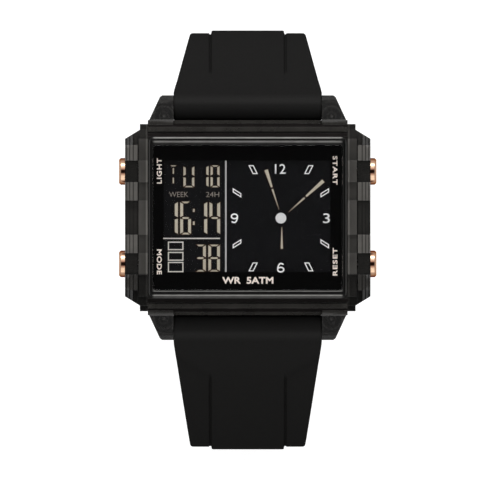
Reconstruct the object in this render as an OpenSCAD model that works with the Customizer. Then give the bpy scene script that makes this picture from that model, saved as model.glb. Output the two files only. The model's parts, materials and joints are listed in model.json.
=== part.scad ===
// Digital watch: smoke plastic case, display module, four pushers, resin strap and pin buckle.
// The dial faces +Z, twelve o'clock points to +Y, and the origin is the centre of the case back.
// The strap hangs unbuckled, curved down into two legs that stand on one level.

/* [Case] */
// Half length of the space for the module
cavity_half_y = 12.3; // [12.1:0.1:12.5]
// Corner radius of the space for the module
cavity_r = 1; // [0.5:0.1:1.5]
// Thickness of the case wall on either side of the module
case_wall = 1.3; // [1.2:0.1:1.5]
// Width of a side rail
rail_w = 4; // [3.2:0.1:5.5]
// Width of a side rail's inner column
inner_column_w = 1.7; // [1.4:0.1:2]
// Width of a lug at its root
lug_w = 4.5; // [4.3:0.1:5]
// Length of a lug past the end of the body
lug_len = 4.35; // [4.1:0.05:5.2]
// Width of the body's end between the bezel and the strap slot
end_band_w = 3; // [2.5:0.1:3.2]
// Clearance between the strap and a lug
slot_gap = 0.1; // [0.05:0.05:0.4]

/* [Case back] */
// Thickness of the case back plate
back_t = 1.2; // [1:0.1:1.6]
// How far the case back plate stays within the body, across
back_inset_x = 0.9; // [0.6:0.1:1.2]
// How far the case back plate stays within the body, along
back_inset_y = 1.5; // [1:0.1:2]
// Distance of a case back screw from the strap slot
screw_from_slot = 1.8; // [1.6:0.1:2]
// Distance of a case back screw past the end of the body
screw_past_body = 0.7; // [0.3:0.1:0.9]
// Radius of a case back screw's head
screw_head_r = 1; // [0.8:0.05:1.1]
// Radius of a case back screw's shank
screw_r = 0.5; // [0.4:0.05:0.55]
// Height that a case back screw reaches to
screw_top = 4.4; // [3.5:0.1:5]

/* [Bezel and crystal] */
// How far the bezel stays within the body, across
bezel_inset = 0.2; // [0.1:0.05:0.4]
// How far the bezel reaches past the space for the module, along
bezel_cover = 1.8; // [1.5:0.05:1.9]
// Height of the bezel above its seat
bezel_h = 2.2; // [1.9:0.1:2.6]
// Width of the bezel beside the crystal
bezel_side_w = 0.7; // [0.6:0.05:0.9]
// Width of the bezel above and below the crystal
bezel_end_w = 1.35; // [1.2:0.05:1.5]
// Thickness of the crystal
crystal_t = 1.5; // [1.2:0.1:1.6]
// Thickness of the gasket under the crystal
crystal_gasket_t = 0.3; // [0.2:0.05:0.5]

/* [Module] */
// Diameter of the coin cell
cell_d = 20; // [16:0.5:20]
// Thickness of the coin cell
cell_t = 2.5; // [2:0.1:2.6]
// Space between the coin cell and the case wall
cell_gap_x = 1; // [0.9:0.1:1.7]
// Thickness of the circuit board
board_t = 0.8; // [0.6:0.1:1]
// Space between the circuit board and the case wall, across
board_gap_x = 1.7; // [1.7:0.1:2.2]
// Space between the board or the front glass and the case wall, along
module_gap_y = 0.6; // [0.5:0.1:0.8]
// Space between the display glasses and the case wall, across
lcd_gap_x = 0.8; // [0.7:0.1:1.2]
// Width of the front glass's ledge past the rear glass
lcd_ledge = 1.5; // [1.4:0.1:1.8]
// Thickness of each display glass
lcd_glass_t = 0.6; // [0.4:0.05:0.7]
// Border of the window past the left edge of the display
window_left_in = 0.7; // [0.5:0.1:1.2]
// Border of the window past the right edge of the display
window_right_in = 0.9; // [0.5:0.1:1.4]
// Border of the window past the rear glass's top edge
window_top_in = 0.2; // [0.1:0.05:0.6]
// Border of the window past the rear glass's bottom edge
window_bottom_in = 0.65; // [0.3:0.05:1]

/* [Pushers] */
// Distance of a pusher from the end of the space for the module
pusher_from_end = 4.2; // [3.9:0.1:4.7]
// Height of the pushers above the case back
pusher_z = 6.1; // [6:0.05:6.2]
// Radius of a pusher's head
pusher_r = 2.35; // [2:0.05:2.4]
// How far a pusher stands out of the case
pusher_proud = 1.05; // [0.95:0.05:1.4]
// Travel of a pusher
pusher_travel = 0.9; // [0.6:0.05:0.9]
// Radius of a pusher's stem
stem_r = 0.75; // [0.6:0.05:0.8]
// Turns of a pusher's spring
spring_turns = 3; // [2:0.5:3]
// Radius of the spring wire
spring_wire_r = 0.14; // [0.1:0.01:0.16]

/* [Strap] */
// Width of the strap at the lugs
strap_w = 25.8; // [24.6:0.1:25.8]
// Width of the strap where it turns down
strap_mid_w = 20.2; // [19:0.1:22]
// Width of the strap at the buckle and towards the tip
strap_end_w = 18.4; // [17:0.1:19]
// Half thickness of the strap's wings at the lugs
strap_root_half_t = 1.85; // [1.7:0.05:1.9]
// Half thickness of the strap's wings along its legs
strap_half_t = 1.4; // [1.2:0.05:1.5]
// Height of the raised middle band over the wings
band_h = 0.5; // [0.3:0.05:0.6]
// Half width of the raised middle band
band_half_w = 6.4; // [5:0.1:7.5]
// Length of the buckle half, from lug bar to buckle bar
upper_len = 60; // [58:0.5:64]
// Length of the hole half, from lug bar to tip
lower_len = 100; // [94:0.5:101]
// How far the buckle half's outer face stands out past the end of the body
upper_out = 15.9; // [15:0.1:17]
// How far the hole half's outer face stands out past the end of the body
lower_out = 23.9; // [22:0.1:24]
// Distance between buckle holes
hole_pitch = 6; // [6:0.5:6]
// Distance of the last buckle hole from the tip
hole_tip = 14; // [13.8:0.1:14.2]
// Number of buckle holes
hole_n = 7; // [3:1:7]
// Radius of a buckle hole
hole_r = 1.1; // [0.9:0.05:1.2]

/* [Buckle] */
// Radius of the strap's roll round the buckle bar
buckle_roll_r = 1.9; // [1.7:0.05:2]
// Length of the buckle frame from its bar to its far edge
buckle_len = 12.5; // [11:0.1:13]
// Width of a buckle frame's arm
buckle_arm_w = 2; // [1.5:0.1:2.4]
// Thickness of the buckle frame
buckle_t = 1.8; // [1.5:0.1:2]
// Width of the buckle tongue
tongue_w = 2; // [1.6:0.1:2]
// Length of a keeper along the strap
keeper_len = 4.2; // [3.4:0.1:4.2]
// Wall of a keeper
keeper_t = 1; // [0.8:0.05:1.1]

/* [Hidden] */
$fn = 48;
eps = 0.01;

// Heights of the stack, from the case back up to the bezel
buzzer_t = 0.3;
holder_z = back_t + buzzer_t;
cell_under = 0.8;
cell_z = holder_z + cell_under;
contact_t = 0.2;
board_z = cell_z + cell_t + contact_t;
frame_z = board_z + board_t;
frame_floor_t = 1.1;
panel_z = frame_z + frame_floor_t;
panel_t = 0.7;
film_t = 0.2;
reflector_z = panel_z + panel_t;
rear_glass_z = reflector_z + film_t;
front_glass_z = rear_glass_z + lcd_glass_t;
polariser_z = front_glass_z + lcd_glass_t;
mask_z = polariser_z + film_t;
mask_t = 0.3;
seat_z = mask_z + mask_t;
crystal_z = seat_z + crystal_gasket_t;
crystal_top = crystal_z + crystal_t;

// Clearances
slip = 0.1;
run_gap = 0.05;
press_gap = 0.02;

// Widths, worked out from the strap outwards and back in to the module
slot_w = strap_w + 2 * slot_gap;
body_half_x = slot_w / 2 + lug_w;
case_half_x = body_half_x + rail_w;
rail_split_x = body_half_x + inner_column_w;
cavity_half_x = body_half_x - case_wall;
back_half_x = body_half_x - back_inset_x;
bezel_half_x = body_half_x - bezel_inset;
crystal_half_x = bezel_half_x - bezel_side_w;
board_half_x = cavity_half_x - board_gap_x;
lcd_half_x = cavity_half_x - lcd_gap_x;
window_left = window_left_in - lcd_half_x;
window_right = lcd_half_x - window_right_in;
screw_x = slot_w / 2 + screw_from_slot;
cell_x = cell_d / 2 + cell_gap_x - cavity_half_x;
buzzer_r = 4.6;
buzzer_x = cavity_half_x - buzzer_r - 0.7;

// Lengths, worked out from the module to both ends
bezel_half_y = cavity_half_y + bezel_cover;
crystal_half_y = bezel_half_y - bezel_end_w;
body_half_y = bezel_half_y + end_band_w;
lug_half_y = body_half_y + lug_len;
back_half_y = body_half_y - back_inset_y;
board_half_y = cavity_half_y - module_gap_y;
lcd_front_half_y = cavity_half_y - module_gap_y;
lcd_rear_half_y = lcd_front_half_y - lcd_ledge;
window_top = lcd_rear_half_y - window_top_in;
window_bottom = window_bottom_in - lcd_rear_half_y;
screw_y = body_half_y + screw_past_body;
pusher_y = cavity_half_y - pusher_from_end;
upper_reach = body_half_y + upper_out;
lower_reach = body_half_y + lower_out;

// Outline of the case: side rails with slanted ends, lugs that lean in to their tips
rail_y = body_half_y - 3.3;
rail_end_y = rail_y + 1.6;
rail_end_x = body_half_x + 1.4;
rail_z = back_t + 0.7;
corner_block_y = rail_end_y + 1;
lug_root_y = body_half_y - 0.5;
lug_tip_x = body_half_x - 2.3;
lug_top = 7.6;
lug_tip_top = 6.4;
ledge_z = 6.6;
ledge_w = 0.6;
shoulder_z = seat_z - 0.6;
seam_depth = 0.8;
seam_w = 0.16;

// Tops of a rail's blocks: the outer and inner columns step up where the other steps down
pusher_block_half = 1.9;
centre_block_half = 3;
outer_block_end = rail_y - 1.1;
outer_high = seat_z - 0.2;
outer_pusher_top = seat_z - 0.55;
outer_low = seat_z - 1.2;
inner_high = seat_z - 0.3;
inner_low = seat_z - 0.9;

// Pushers, worked out from the side of the case inwards
head_len = pusher_proud + 0.55;
head_x = case_half_x + pusher_proud - head_len;
head_floor_x = head_x - pusher_travel - 0.1;
spring_floor_x = body_half_x + 0.5;
seal_x = body_half_x - 0.3;
seal_len = 0.7;
seal_r = 1.35;
spring_hole_r = 1.75;
spring_r = 1.3;
clip_t = 0.35;
clip_r = 1.05;
clip_x = cavity_half_x - press_gap - clip_t;
stem_tip_x = clip_x - 0.18;
leaf_t = 0.15;
leaf_x = stem_tip_x - pusher_travel - run_gap - leaf_t;
PUSHERS = [[-1, 1], [-1, -1], [1, 1], [1, -1]];

// Strap: the middle line of each half is a chain of arcs and straights, each [length, turn]
bar_z = 4.6;
roll_gap = 0.17;
roll_proud = 0.08;
roll_r = strap_root_half_t + band_h + roll_proud;
bar_y = body_half_y + roll_gap + roll_r + 0.1;
bar_r = 0.9;
bar_tip_r = 0.4;
bar_tip_reach = 1.1;
upper_start = -15;
lower_start = -12;
face_out = strap_half_t + 0.1 + band_h;
upper_bend_r = (upper_reach - face_out - bar_y) / (1 - sin(-upper_start));
lower_bend_r = (lower_reach - face_out - bar_y) / (1 - sin(-lower_start));
upper_lean = 17;
upper_lean_len = 19;
function arc_len(r, turn) = r * turn * PI / 180;
upper_bend_len = arc_len(upper_bend_r, 90 + upper_start);
lower_bend_len = arc_len(lower_bend_r, 90 + lower_start);
upper_straight = upper_len - upper_bend_len - upper_lean_len;
upper_path = [[upper_bend_len, -90 - upper_start], [upper_lean_len, -upper_lean], [upper_straight, 0]];
upper_drop = upper_bend_r * cos(upper_start)
    + upper_lean_len / (upper_lean * PI / 180) * sin(upper_lean) + upper_straight * cos(upper_lean);
floor_z = bar_z - upper_drop - buckle_roll_r;
foot_r = 14;
lower_leg = bar_z - lower_bend_r * cos(lower_start) - foot_r - (floor_z + strap_half_t);
foot_len = arc_len(foot_r, 90);
lower_tail = lower_len - lower_bend_len - lower_leg - foot_len;
lower_path = [[lower_bend_len, -90 - lower_start], [lower_leg, 0], [foot_len, -90], [lower_tail, 0]];
UPPER_CUTS = [0, 17, upper_bend_len + upper_lean_len, upper_len];
LOWER_CUTS = [0, 24, 47, 71, lower_len];
knuckle_gap = 0.08;
nose_sink = 0.12;
band_gap = 0.9;
root_len = 26;
taper_y = body_half_y + 4.9;
end_taper_len = 22;
full_w_end = 4.4;
wing_drop_len = 1.2;
upper_band_end = 34;
lower_band_end = 44;
band_fade = 2;
ring_step = 3;

// Buckle and keepers
buckle_bar_r = 0.75;
arm_gap = 0.25;
arm_x = strap_end_w / 2 + arm_gap;
buckle_droop = 4;
buckle_heading = -180 + buckle_droop;
eye_r = 1.5;
fork_w = tongue_w + 0.6;
roll_half_w = strap_end_w / 2 - 0.1;
fork_len = 3.2;
keeper_from_bar = 3.4;
fixed_keeper_s = upper_len - keeper_len - keeper_from_bar;
free_keeper_s = fixed_keeper_s - keeper_len - 1;
keeper_fit = 0.3;
keeper_travel = 5.5;
tail_room = 2 * strap_half_t + 0.5;

// A rounded rectangle centred on the origin, by its half sizes
module round_rect(hx, hy, r) {
    square([2 * hx - 2 * r, 2 * hy], center = true);
    square([2 * hx, 2 * hy - 2 * r], center = true);
    for (sx = [-1, 1], sy = [-1, 1])
        translate([sx * (hx - r), sy * (hy - r)])
            circle(r);
}

module plate(hx, hy, r, z, t) {
    translate([0, 0, z])
        linear_extrude(t)
            round_rect(hx, hy, r);
}

// A plate with a smaller opening in it
module frame_plate(hx, hy, r, inner_x, inner_y, inner_r, z, t) {
    difference() {
        plate(hx, hy, r, z, t);
        plate(inner_x, inner_y, inner_r, z - eps, t + 2 * eps);
    }
}

module box(low, high) {
    translate(low)
        cube(high - low);
}

module at_corners(x, y) {
    for (sx = [-1, 1], sy = [-1, 1])
        translate([sx * x, sy * y, 0])
            children();
}

// A cylinder along X from x0 to x1, at the pusher's height
module along_x(x0, x1, r) {
    translate([x0, 0, 0])
        rotate([0, 90, 0])
            cylinder(h = x1 - x0, r = r);
}

// Places a pusher part, drawn along +X at the origin, at one of the four pushers
module at_pusher(i) {
    side = PUSHERS[i];
    translate([0, side[1] * pusher_y, pusher_z])
        mirror([side[0] < 0 ? 1 : 0, 0, 0])
            children();
}

// One side rail in plan: straight side with slanted ends
module rail_plan() {
    polygon([[body_half_x - 1, -rail_end_y], [rail_end_x, -rail_end_y], [case_half_x, -rail_y],
        [case_half_x, rail_y], [rail_end_x, rail_end_y], [body_half_x - 1, rail_end_y]]);
}

// One side rail: two columns of blocks, stepped along the case, with a seam between them
module side_rail() {
    pusher_low = pusher_y - pusher_block_half;
    pusher_high = pusher_y + pusher_block_half;
    outer = [[0, centre_block_half, outer_low], [centre_block_half, pusher_low, outer_high],
        [pusher_low, pusher_high, outer_pusher_top], [pusher_high, outer_block_end, outer_high],
        [outer_block_end, rail_end_y, outer_low]];
    inner = [[0, centre_block_half, inner_high], [centre_block_half, pusher_low, inner_low],
        [pusher_low, pusher_high, inner_high], [pusher_high, rail_y, inner_low],
        [rail_y, rail_end_y, outer_low]];
    difference() {
        intersection() {
            translate([0, 0, rail_z])
                linear_extrude(seat_z - rail_z)
                    rail_plan();
            for (sy = [-1, 1])
                mirror([0, sy < 0 ? 1 : 0, 0]) {
                    for (b = outer)
                        box([rail_split_x - eps, b[0] - eps, rail_z], [case_half_x + 1, b[1] + eps, b[2]]);
                    for (b = inner)
                        box([body_half_x - 1, b[0] - eps, rail_z], [rail_split_x, b[1] + eps, b[2]]);
                }
        }
        box([rail_split_x - seam_w / 2, -rail_end_y - 1, seat_z - seam_depth - 1],
            [rail_split_x + seam_w / 2, rail_end_y + 1, seat_z + 1]);
    }
    for (sy = [-1, 1])
        mirror([0, sy < 0 ? 1 : 0, 0])
            box([body_half_x - 0.5, rail_end_y - 0.5, rail_z + 0.8],
                [rail_end_x, corner_block_y, outer_low - 1.2]);
}

// The case's end between the lugs, from the seat of the bezel down to the slot's wall
module end_band() {
    profile = [[cavity_half_y - 0.5, back_t], [body_half_y - 0.5, back_t], [body_half_y, back_t + 0.5],
        [body_half_y, ledge_z], [body_half_y - ledge_w, ledge_z], [body_half_y - 2 * ledge_w, shoulder_z],
        [bezel_half_y + 0.95, shoulder_z], [bezel_half_y + 0.85, shoulder_z - 0.3],
        [bezel_half_y + 0.65, shoulder_z - 0.3], [bezel_half_y + 0.6, shoulder_z],
        [bezel_half_y + 0.1, seat_z], [cavity_half_y - 0.5, seat_z]];
    translate([-body_half_x, 0, 0])
        rotate([90, 0, 90])
            linear_extrude(2 * body_half_x)
                polygon(profile);
}

module lug() {
    inner_x = slot_w / 2;
    intersection() {
        translate([0, 0, back_t])
            linear_extrude(lug_top - back_t)
                polygon([[inner_x, body_half_y - 2], [body_half_x, body_half_y - 2],
                    [body_half_x, lug_root_y], [lug_tip_x + 0.2, lug_half_y - 0.3],
                    [lug_tip_x - 0.2, lug_half_y], [inner_x, lug_half_y]]);
        translate([inner_x - 1, 0, 0])
            rotate([90, 0, 90])
                linear_extrude(body_half_x)
                    polygon([[body_half_y - 2, back_t], [lug_half_y - 1.2, back_t],
                        [lug_half_y, back_t + 1.2], [lug_half_y, lug_tip_top - 1],
                        [lug_half_y - 0.8, lug_tip_top], [lug_root_y + 0.6, lug_top],
                        [body_half_y - 2, lug_top]]);
    }
}

module pusher_holes() {
    along_x(head_floor_x, case_half_x + 1, pusher_r + slip);
    along_x(spring_floor_x, head_floor_x + eps, spring_hole_r);
    along_x(seal_x, spring_floor_x + eps, seal_r);
    along_x(cavity_half_x - 1, seal_x + eps, stem_r + run_gap);
}

module case_middle() {
    color([0.2, 0.19, 0.18, 0.8])
        difference() {
            union() {
                box([-body_half_x, -cavity_half_y - 1, back_t], [body_half_x, cavity_half_y + 1, seat_z]);
                for (sy = [0, 1])
                    mirror([0, sy, 0])
                        end_band();
                for (sx = [0, 1], sy = [0, 1])
                    mirror([sx, 0, 0])
                        mirror([0, sy, 0])
                            lug();
                for (sx = [0, 1])
                    mirror([sx, 0, 0])
                        side_rail();
            }
            plate(cavity_half_x, cavity_half_y, cavity_r, back_t - 1, seat_z);
            back_groove();
            for (i = [0:3])
                at_pusher(i)
                    pusher_holes();
            at_corners(screw_x, screw_y)
                translate([0, 0, back_t - eps])
                    cylinder(h = screw_top - back_t + 0.3, r = screw_r + press_gap);
            for (sy = [-1, 1])
                translate([0, sy * bar_y, bar_z])
                    along_x(-slot_w / 2 - bar_tip_reach, slot_w / 2 + bar_tip_reach,
                        bar_tip_r + press_gap);
        }
}

// The bezel: an outer rim, a groove and an inner rim round the crystal
module bezel() {
    rim = 0.2;
    groove = 0.3;
    inner_top = 0.2;
    color([0.25, 0.24, 0.23, 0.85])
        difference() {
            plate(bezel_half_x, bezel_half_y, 1.1, seat_z, bezel_h);
            plate(crystal_half_x + run_gap, crystal_half_y + run_gap, 0.7, seat_z - 1, bezel_h + 2);
            frame_plate(bezel_half_x - rim, bezel_half_y - 2 * rim, 0.9,
                bezel_half_x - rim - groove, bezel_half_y - 2 * rim - groove, 0.8,
                seat_z + bezel_h - 0.35, 1);
            plate(bezel_half_x - rim - groove, bezel_half_y - 2 * rim - groove, 0.8,
                seat_z + bezel_h - inner_top, 1);
        }
}

module crystal() {
    color([0.05, 0.05, 0.06, 0.5])
        plate(crystal_half_x, crystal_half_y, 0.65, crystal_z, crystal_t);
}

module crystal_gasket() {
    color("black")
        frame_plate(crystal_half_x, crystal_half_y, 0.65, cavity_half_x - 0.6, cavity_half_y - 0.6, 0.5,
            seat_z, crystal_gasket_t);
}

// Black printed plate with the window for the display
module dial_mask() {
    color([0.02, 0.02, 0.02])
        difference() {
            plate(cavity_half_x - slip, cavity_half_y - slip, cavity_r, mask_z, mask_t);
            box([window_left, window_bottom, mask_z - 1], [window_right, window_top, mask_z + 1]);
        }
}

module lcd_front_polariser() {
    color([0.1, 0.1, 0.11])
        plate(lcd_half_x - 0.1, lcd_front_half_y - 0.8, 0.2, polariser_z, film_t);
}

module lcd_front_glass() {
    color([0.12, 0.12, 0.13])
        plate(lcd_half_x, lcd_front_half_y, 0.2, front_glass_z, lcd_glass_t);
}

module lcd_rear_glass() {
    color([0.12, 0.12, 0.13])
        plate(lcd_half_x, lcd_rear_half_y, 0.2, rear_glass_z, lcd_glass_t);
}

module lcd_reflector() {
    color([0.6, 0.58, 0.5])
        plate(lcd_half_x - 0.2, lcd_rear_half_y - 0.2, 0.2, reflector_z, film_t);
}

module light_panel() {
    color("white")
        plate(board_half_x - 0.1, lcd_rear_half_y - 0.4, 0.4, panel_z, panel_t);
}

// Lamp at the panel's left edge, on a shelf of the frame
module light_led() {
    color([1, 0.95, 0.7])
        box([-lcd_half_x + 0.05, -0.9, panel_z], [-board_half_x + 0.05, 0.9, panel_z + panel_t - 0.05]);
}

zebra_w = 0.9;
zebra_y = lcd_rear_half_y + 0.35;
zebra_half_x = lcd_half_x - 3;

// Rubber connectors that stand on the board and press on the front glass's ledges
module zebra_strips() {
    color([0.85, 0.5, 0.6])
        for (sy = [0, 1])
            mirror([0, sy, 0])
                box([-zebra_half_x, zebra_y, frame_z], [zebra_half_x, zebra_y + zebra_w, front_glass_z]);
}

holder_half_x = cavity_half_x - 0.3;
holder_half_y = cavity_half_y - 0.2;
module_screw_x = board_half_x - 1.2;
module_screw_y = board_half_y - 0.55;
chip_half = 3.4;
chip_room = chip_half + 0.8;
notch_half = 1.7;
parts_x = board_half_x - 7.5;
part_len = 1.6;
part_w = 0.8;
part_rows = 6;
part_pitch = board_half_y / 3.9;
quartz_x = board_half_x - 4.1;
quartz_r = 0.5;
quartz_len = 6;
parts_room_x = 1.6;
parts_room_half_y = lcd_rear_half_y - 1.2;

module lcd_frame() {
    color([0.9, 0.9, 0.88])
        difference() {
            plate(holder_half_x, holder_half_y, 0.8, frame_z, polariser_z - frame_z);
            plate(lcd_half_x + slip, lcd_front_half_y + slip, 0.25, front_glass_z, 2);
            plate(lcd_half_x + slip, lcd_rear_half_y + slip, 0.25, panel_z, 4);
            box([-chip_room, -chip_room, frame_z - 1], [chip_room, chip_room, panel_z + 1]);
            box([parts_x - 1, -parts_room_half_y, frame_z - 1],
                [quartz_x + parts_room_x, parts_room_half_y, panel_z + 1]);
            for (sy = [0, 1])
                mirror([0, sy, 0])
                    box([-zebra_half_x - slip, zebra_y - slip, frame_z - 1],
                        [zebra_half_x + slip, zebra_y + zebra_w + slip, polariser_z]);
            for (i = [0:3])
                at_pusher(i)
                    box([leaf_x - 1.2, -notch_half, -3],
                        [cavity_half_x + 1, notch_half, reflector_z - pusher_z]);
            module_screw_holes();
        }
}

module module_screw_holes() {
    at_corners(module_screw_x + 0.5, module_screw_y)
        translate([0, 0, holder_z - 1])
            cylinder(h = front_glass_z - holder_z, r = 0.4 + press_gap);
}

module circuit_board() {
    color([0.1, 0.35, 0.2])
        difference() {
            plate(board_half_x, board_half_y, 0.5, board_z, board_t);
            module_screw_holes();
        }
}

module driver_chip() {
    color([0.05, 0.05, 0.05])
        translate([0, 0, frame_z])
            cylinder(h = frame_floor_t - 0.2, r = chip_half);
}

// Small components of the board, on its upper face beside the chip
module board_parts() {
    color([0.6, 0.5, 0.35])
        for (row = [0:part_rows - 1])
            translate([parts_x, (row - (part_rows - 1) / 2) * part_pitch - part_w / 2, frame_z])
                cube([part_len, part_w, part_w]);
}

module quartz_can() {
    color("silver")
        translate([quartz_x, -quartz_len / 2, frame_z + quartz_r])
            rotate([-90, 0, 0])
                cylinder(h = quartz_len, r = quartz_r);
}

// Bent leaves that the pushers' stems press
module pusher_contacts() {
    color([0.85, 0.7, 0.35])
        for (i = [0:3])
            at_pusher(i) {
                z = frame_z - pusher_z;
                box([leaf_x - 1, -1, z], [leaf_x + leaf_t, 1, z + leaf_t]);
                box([leaf_x, -1, z], [leaf_x + leaf_t, 1, z + 1]);
            }
}

module coin_cell() {
    color("silver")
        translate([cell_x, 0, cell_z]) {
            cylinder(h = cell_t - 0.4, r = cell_d / 2, $fn = 96);
            cylinder(h = cell_t, r = cell_d / 2 - 1.2, $fn = 96);
        }
}

module cell_contact() {
    color([0.85, 0.7, 0.35])
        translate([cell_x, 0, cell_z + cell_t])
            cylinder(h = contact_t, r = 2.5);
}

clip_half_w = 3;
cell_clip_t = 0.15;

// Spring strap that holds the coin cell from below, between the holder's walls
module cell_clip() {
    color("silver")
        box([-holder_half_x + 0.4, -clip_half_w, cell_z - cell_clip_t],
            [cell_x + cell_d / 2 + 1.6, clip_half_w, cell_z]);
}

module battery_holder() {
    color([0.15, 0.15, 0.16])
        difference() {
            plate(holder_half_x, holder_half_y, 0.8, holder_z, board_z - holder_z);
            translate([cell_x, 0, holder_z - 1])
                cylinder(h = 6, r = cell_d / 2 + slip, $fn = 96);
            box([-holder_half_x + 0.3, -clip_half_w - slip, holder_z - 1],
                [cell_x + cell_d / 2 + 1.7, clip_half_w + slip, cell_z]);
            translate([buzzer_x, 0, holder_z - 1])
                cylinder(h = 6, r = 1.6);
            module_screw_holes();
            at_corners(module_screw_x + 0.5, module_screw_y)
                translate([0, 0, holder_z - 1])
                    cylinder(h = 1.55, r = 0.8);
        }
}

module module_screws() {
    color("silver")
        at_corners(module_screw_x + 0.5, module_screw_y) {
            translate([0, 0, holder_z + 0.1])
                cylinder(h = 0.45, r = 0.75);
            translate([0, 0, holder_z + 0.1])
                cylinder(h = 5.6, r = 0.4);
        }
}

module buzzer_disc() {
    color([0.85, 0.75, 0.45])
        translate([buzzer_x, 0, back_t])
            cylinder(h = buzzer_t, r = buzzer_r);
}

// Points of a helix's middle line, drawn along +X from x0 to x1
function helix_points(x0, x1, r, turns, steps) = [for (i = [0:steps])
    let (a = 360 * turns * i / steps) [x0 + (x1 - x0) * i / steps, r * cos(a), r * sin(a)]];

// A tube of six sides along a helix, as one closed solid
module helix_wire(x0, x1, r, turns, wire_r) {
    sides = 6;
    steps = 8 * turns;
    line = helix_points(x0 + wire_r, x1 - wire_r, r, turns, steps);
    rise = (x1 - x0 - 2 * wire_r) / turns;
    lean = atan(rise / (2 * PI * r));
    points = [for (i = [0:steps]) let (a = 360 * turns * i / steps)
        for (k = [0:sides - 1]) let (b = 360 * k / sides,
            out = wire_r * cos(b), across = wire_r * sin(b))
            line[i] + [across * cos(lean), out * cos(a) + across * sin(lean) * sin(a),
                out * sin(a) - across * sin(lean) * cos(a)]];
    walls = [for (i = [0:steps - 1], k = [0:sides - 1])
        let (a = i * sides + k, b = i * sides + (k + 1) % sides)
        for (f = [[a, a + sides, b], [b, a + sides, b + sides]]) f];
    first = [for (k = [1:sides - 2]) [0, k, k + 1]];
    last = [for (k = [1:sides - 2]) [steps * sides, steps * sides + k + 1, steps * sides + k]];
    polyhedron(points, concat(walls, first, last));
    echo(least_gap_mm = rise * cos(lean) - 2 * wire_r);
}

module buzzer_spring() {
    color([0.85, 0.7, 0.35])
        translate([buzzer_x, 0, 0])
            rotate([0, -90, 0])
                helix_wire(holder_z, board_z, 1.1, 4, 0.14);
}

gasket_w = 0.8;
gasket_half_x = cavity_half_x + 0.2;
gasket_half_y = cavity_half_y + 1.4;

module back_groove() {
    frame_plate(gasket_half_x, gasket_half_y, 1.2, gasket_half_x - gasket_w, gasket_half_y - gasket_w, 0.6,
        back_t - eps, gasket_w);
}

module back_gasket() {
    color("black")
        frame_plate(gasket_half_x - press_gap, gasket_half_y - press_gap, 1.2,
            cavity_half_x - eps, gasket_half_y - gasket_w + press_gap, 0.6,
            back_t, gasket_w - 2 * press_gap);
}

ear_half = 1.7;

module case_back() {
    color([0.55, 0.55, 0.56])
        difference() {
            union() {
                plate(back_half_x, back_half_y, 2, 0, back_t);
                at_corners(screw_x, screw_y)
                    cylinder(h = back_t, r = ear_half);
                for (x = [-screw_x, screw_x])
                    box([x - ear_half, -screw_y, 0], [x + ear_half, screw_y, back_t]);
            }
            at_corners(screw_x, screw_y) {
                translate([0, 0, -1])
                    cylinder(h = 4, r = screw_r + slip);
                translate([0, 0, -1])
                    cylinder(h = 1.75, r = screw_head_r + slip);
            }
        }
}

module case_back_screws() {
    color("silver")
        at_corners(screw_x, screw_y)
            difference() {
                union() {
                    translate([0, 0, 0.1])
                        cylinder(h = 0.65, r = screw_head_r);
                    translate([0, 0, 0.1])
                        cylinder(h = screw_top - 0.1, r = screw_r);
                }
                for (a = [0, 90])
                    rotate([0, 0, a])
                        translate([-screw_head_r * 0.7, -0.13, 0])
                            cube([screw_head_r * 1.4, 0.26, 0.4]);
            }
}

module pusher_seals() {
    color("black")
        for (i = [0:3])
            at_pusher(i)
                difference() {
                    along_x(seal_x + run_gap, seal_x + seal_len, seal_r - press_gap);
                    along_x(seal_x - 1, seal_x + 2, stem_r + run_gap);
                }
}

module pusher(i) {
    color([0.9, 0.7, 0.54])
        at_pusher(i)
            difference() {
                union() {
                    along_x(head_x, head_x + head_len - 0.3, pusher_r);
                    translate([head_x + head_len - 0.3, 0, 0])
                        rotate([0, 90, 0])
                            cylinder(h = 0.3, r1 = pusher_r, r2 = pusher_r - 0.3);
                    along_x(stem_tip_x, head_x + eps, stem_r);
                }
                difference() {
                    along_x(clip_x - 0.03, clip_x + clip_t + 0.01, stem_r + 1);
                    along_x(clip_x - 1, clip_x + 1, stem_r - 0.25);
                }
            }
}

module pusher_spring(i) {
    color("silver")
        at_pusher(i)
            helix_wire(spring_floor_x + press_gap, head_x - press_gap,
                spring_r, spring_turns, spring_wire_r);
}

// Open ring in the stem's groove, which stops the pusher from coming out
module pusher_clip(i) {
    color("silver")
        at_pusher(i)
            difference() {
                along_x(clip_x, clip_x + clip_t, clip_r);
                along_x(clip_x - 1, clip_x + 1, stem_r - 0.25 + press_gap);
                box([clip_x - 1, -0.35, -2], [clip_x + 1, 0.35, 0]);
            }
}

barrel_half = slot_w / 2 - 0.1;

module lug_bar_barrels() {
    color("silver")
        for (sy = [-1, 1])
            translate([0, sy * bar_y, bar_z])
                along_x(-barrel_half, barrel_half, bar_r);
}

module lug_bar_tips() {
    color("silver")
        for (sx = [0, 1], sy = [-1, 1])
            mirror([sx, 0, 0])
                translate([0, sy * bar_y, bar_z])
                    along_x(barrel_half, slot_w / 2 + bar_tip_reach - 0.1, bar_tip_r);
}

// A point of a path's middle line: [y, z, heading], s along it from the lug bar
function step(p, leg, s) = let (rate = leg[1] / leg[0], h = p[2] + rate * s)
    rate == 0 ? [p[0] + s * cos(p[2]), p[1] + s * sin(p[2]), h]
    : let (r = 180 / PI / rate) [p[0] + r * (sin(h) - sin(p[2])), p[1] - r * (cos(h) - cos(p[2])), h];
function walk(p, path, s, i = 0) = i == len(path) - 1 || s <= path[i][0] ? step(p, path[i], s)
    : walk(step(p, path[i], path[i][0]), path, s - path[i][0], i + 1);
function upper_at(s) = walk([bar_y, bar_z, upper_start], upper_path, s);
function lower_at(s) = walk([bar_y, bar_z, lower_start], lower_path, s);
function strap_at(side, s) = side > 0 ? upper_at(s) : lower_at(s);

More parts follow.
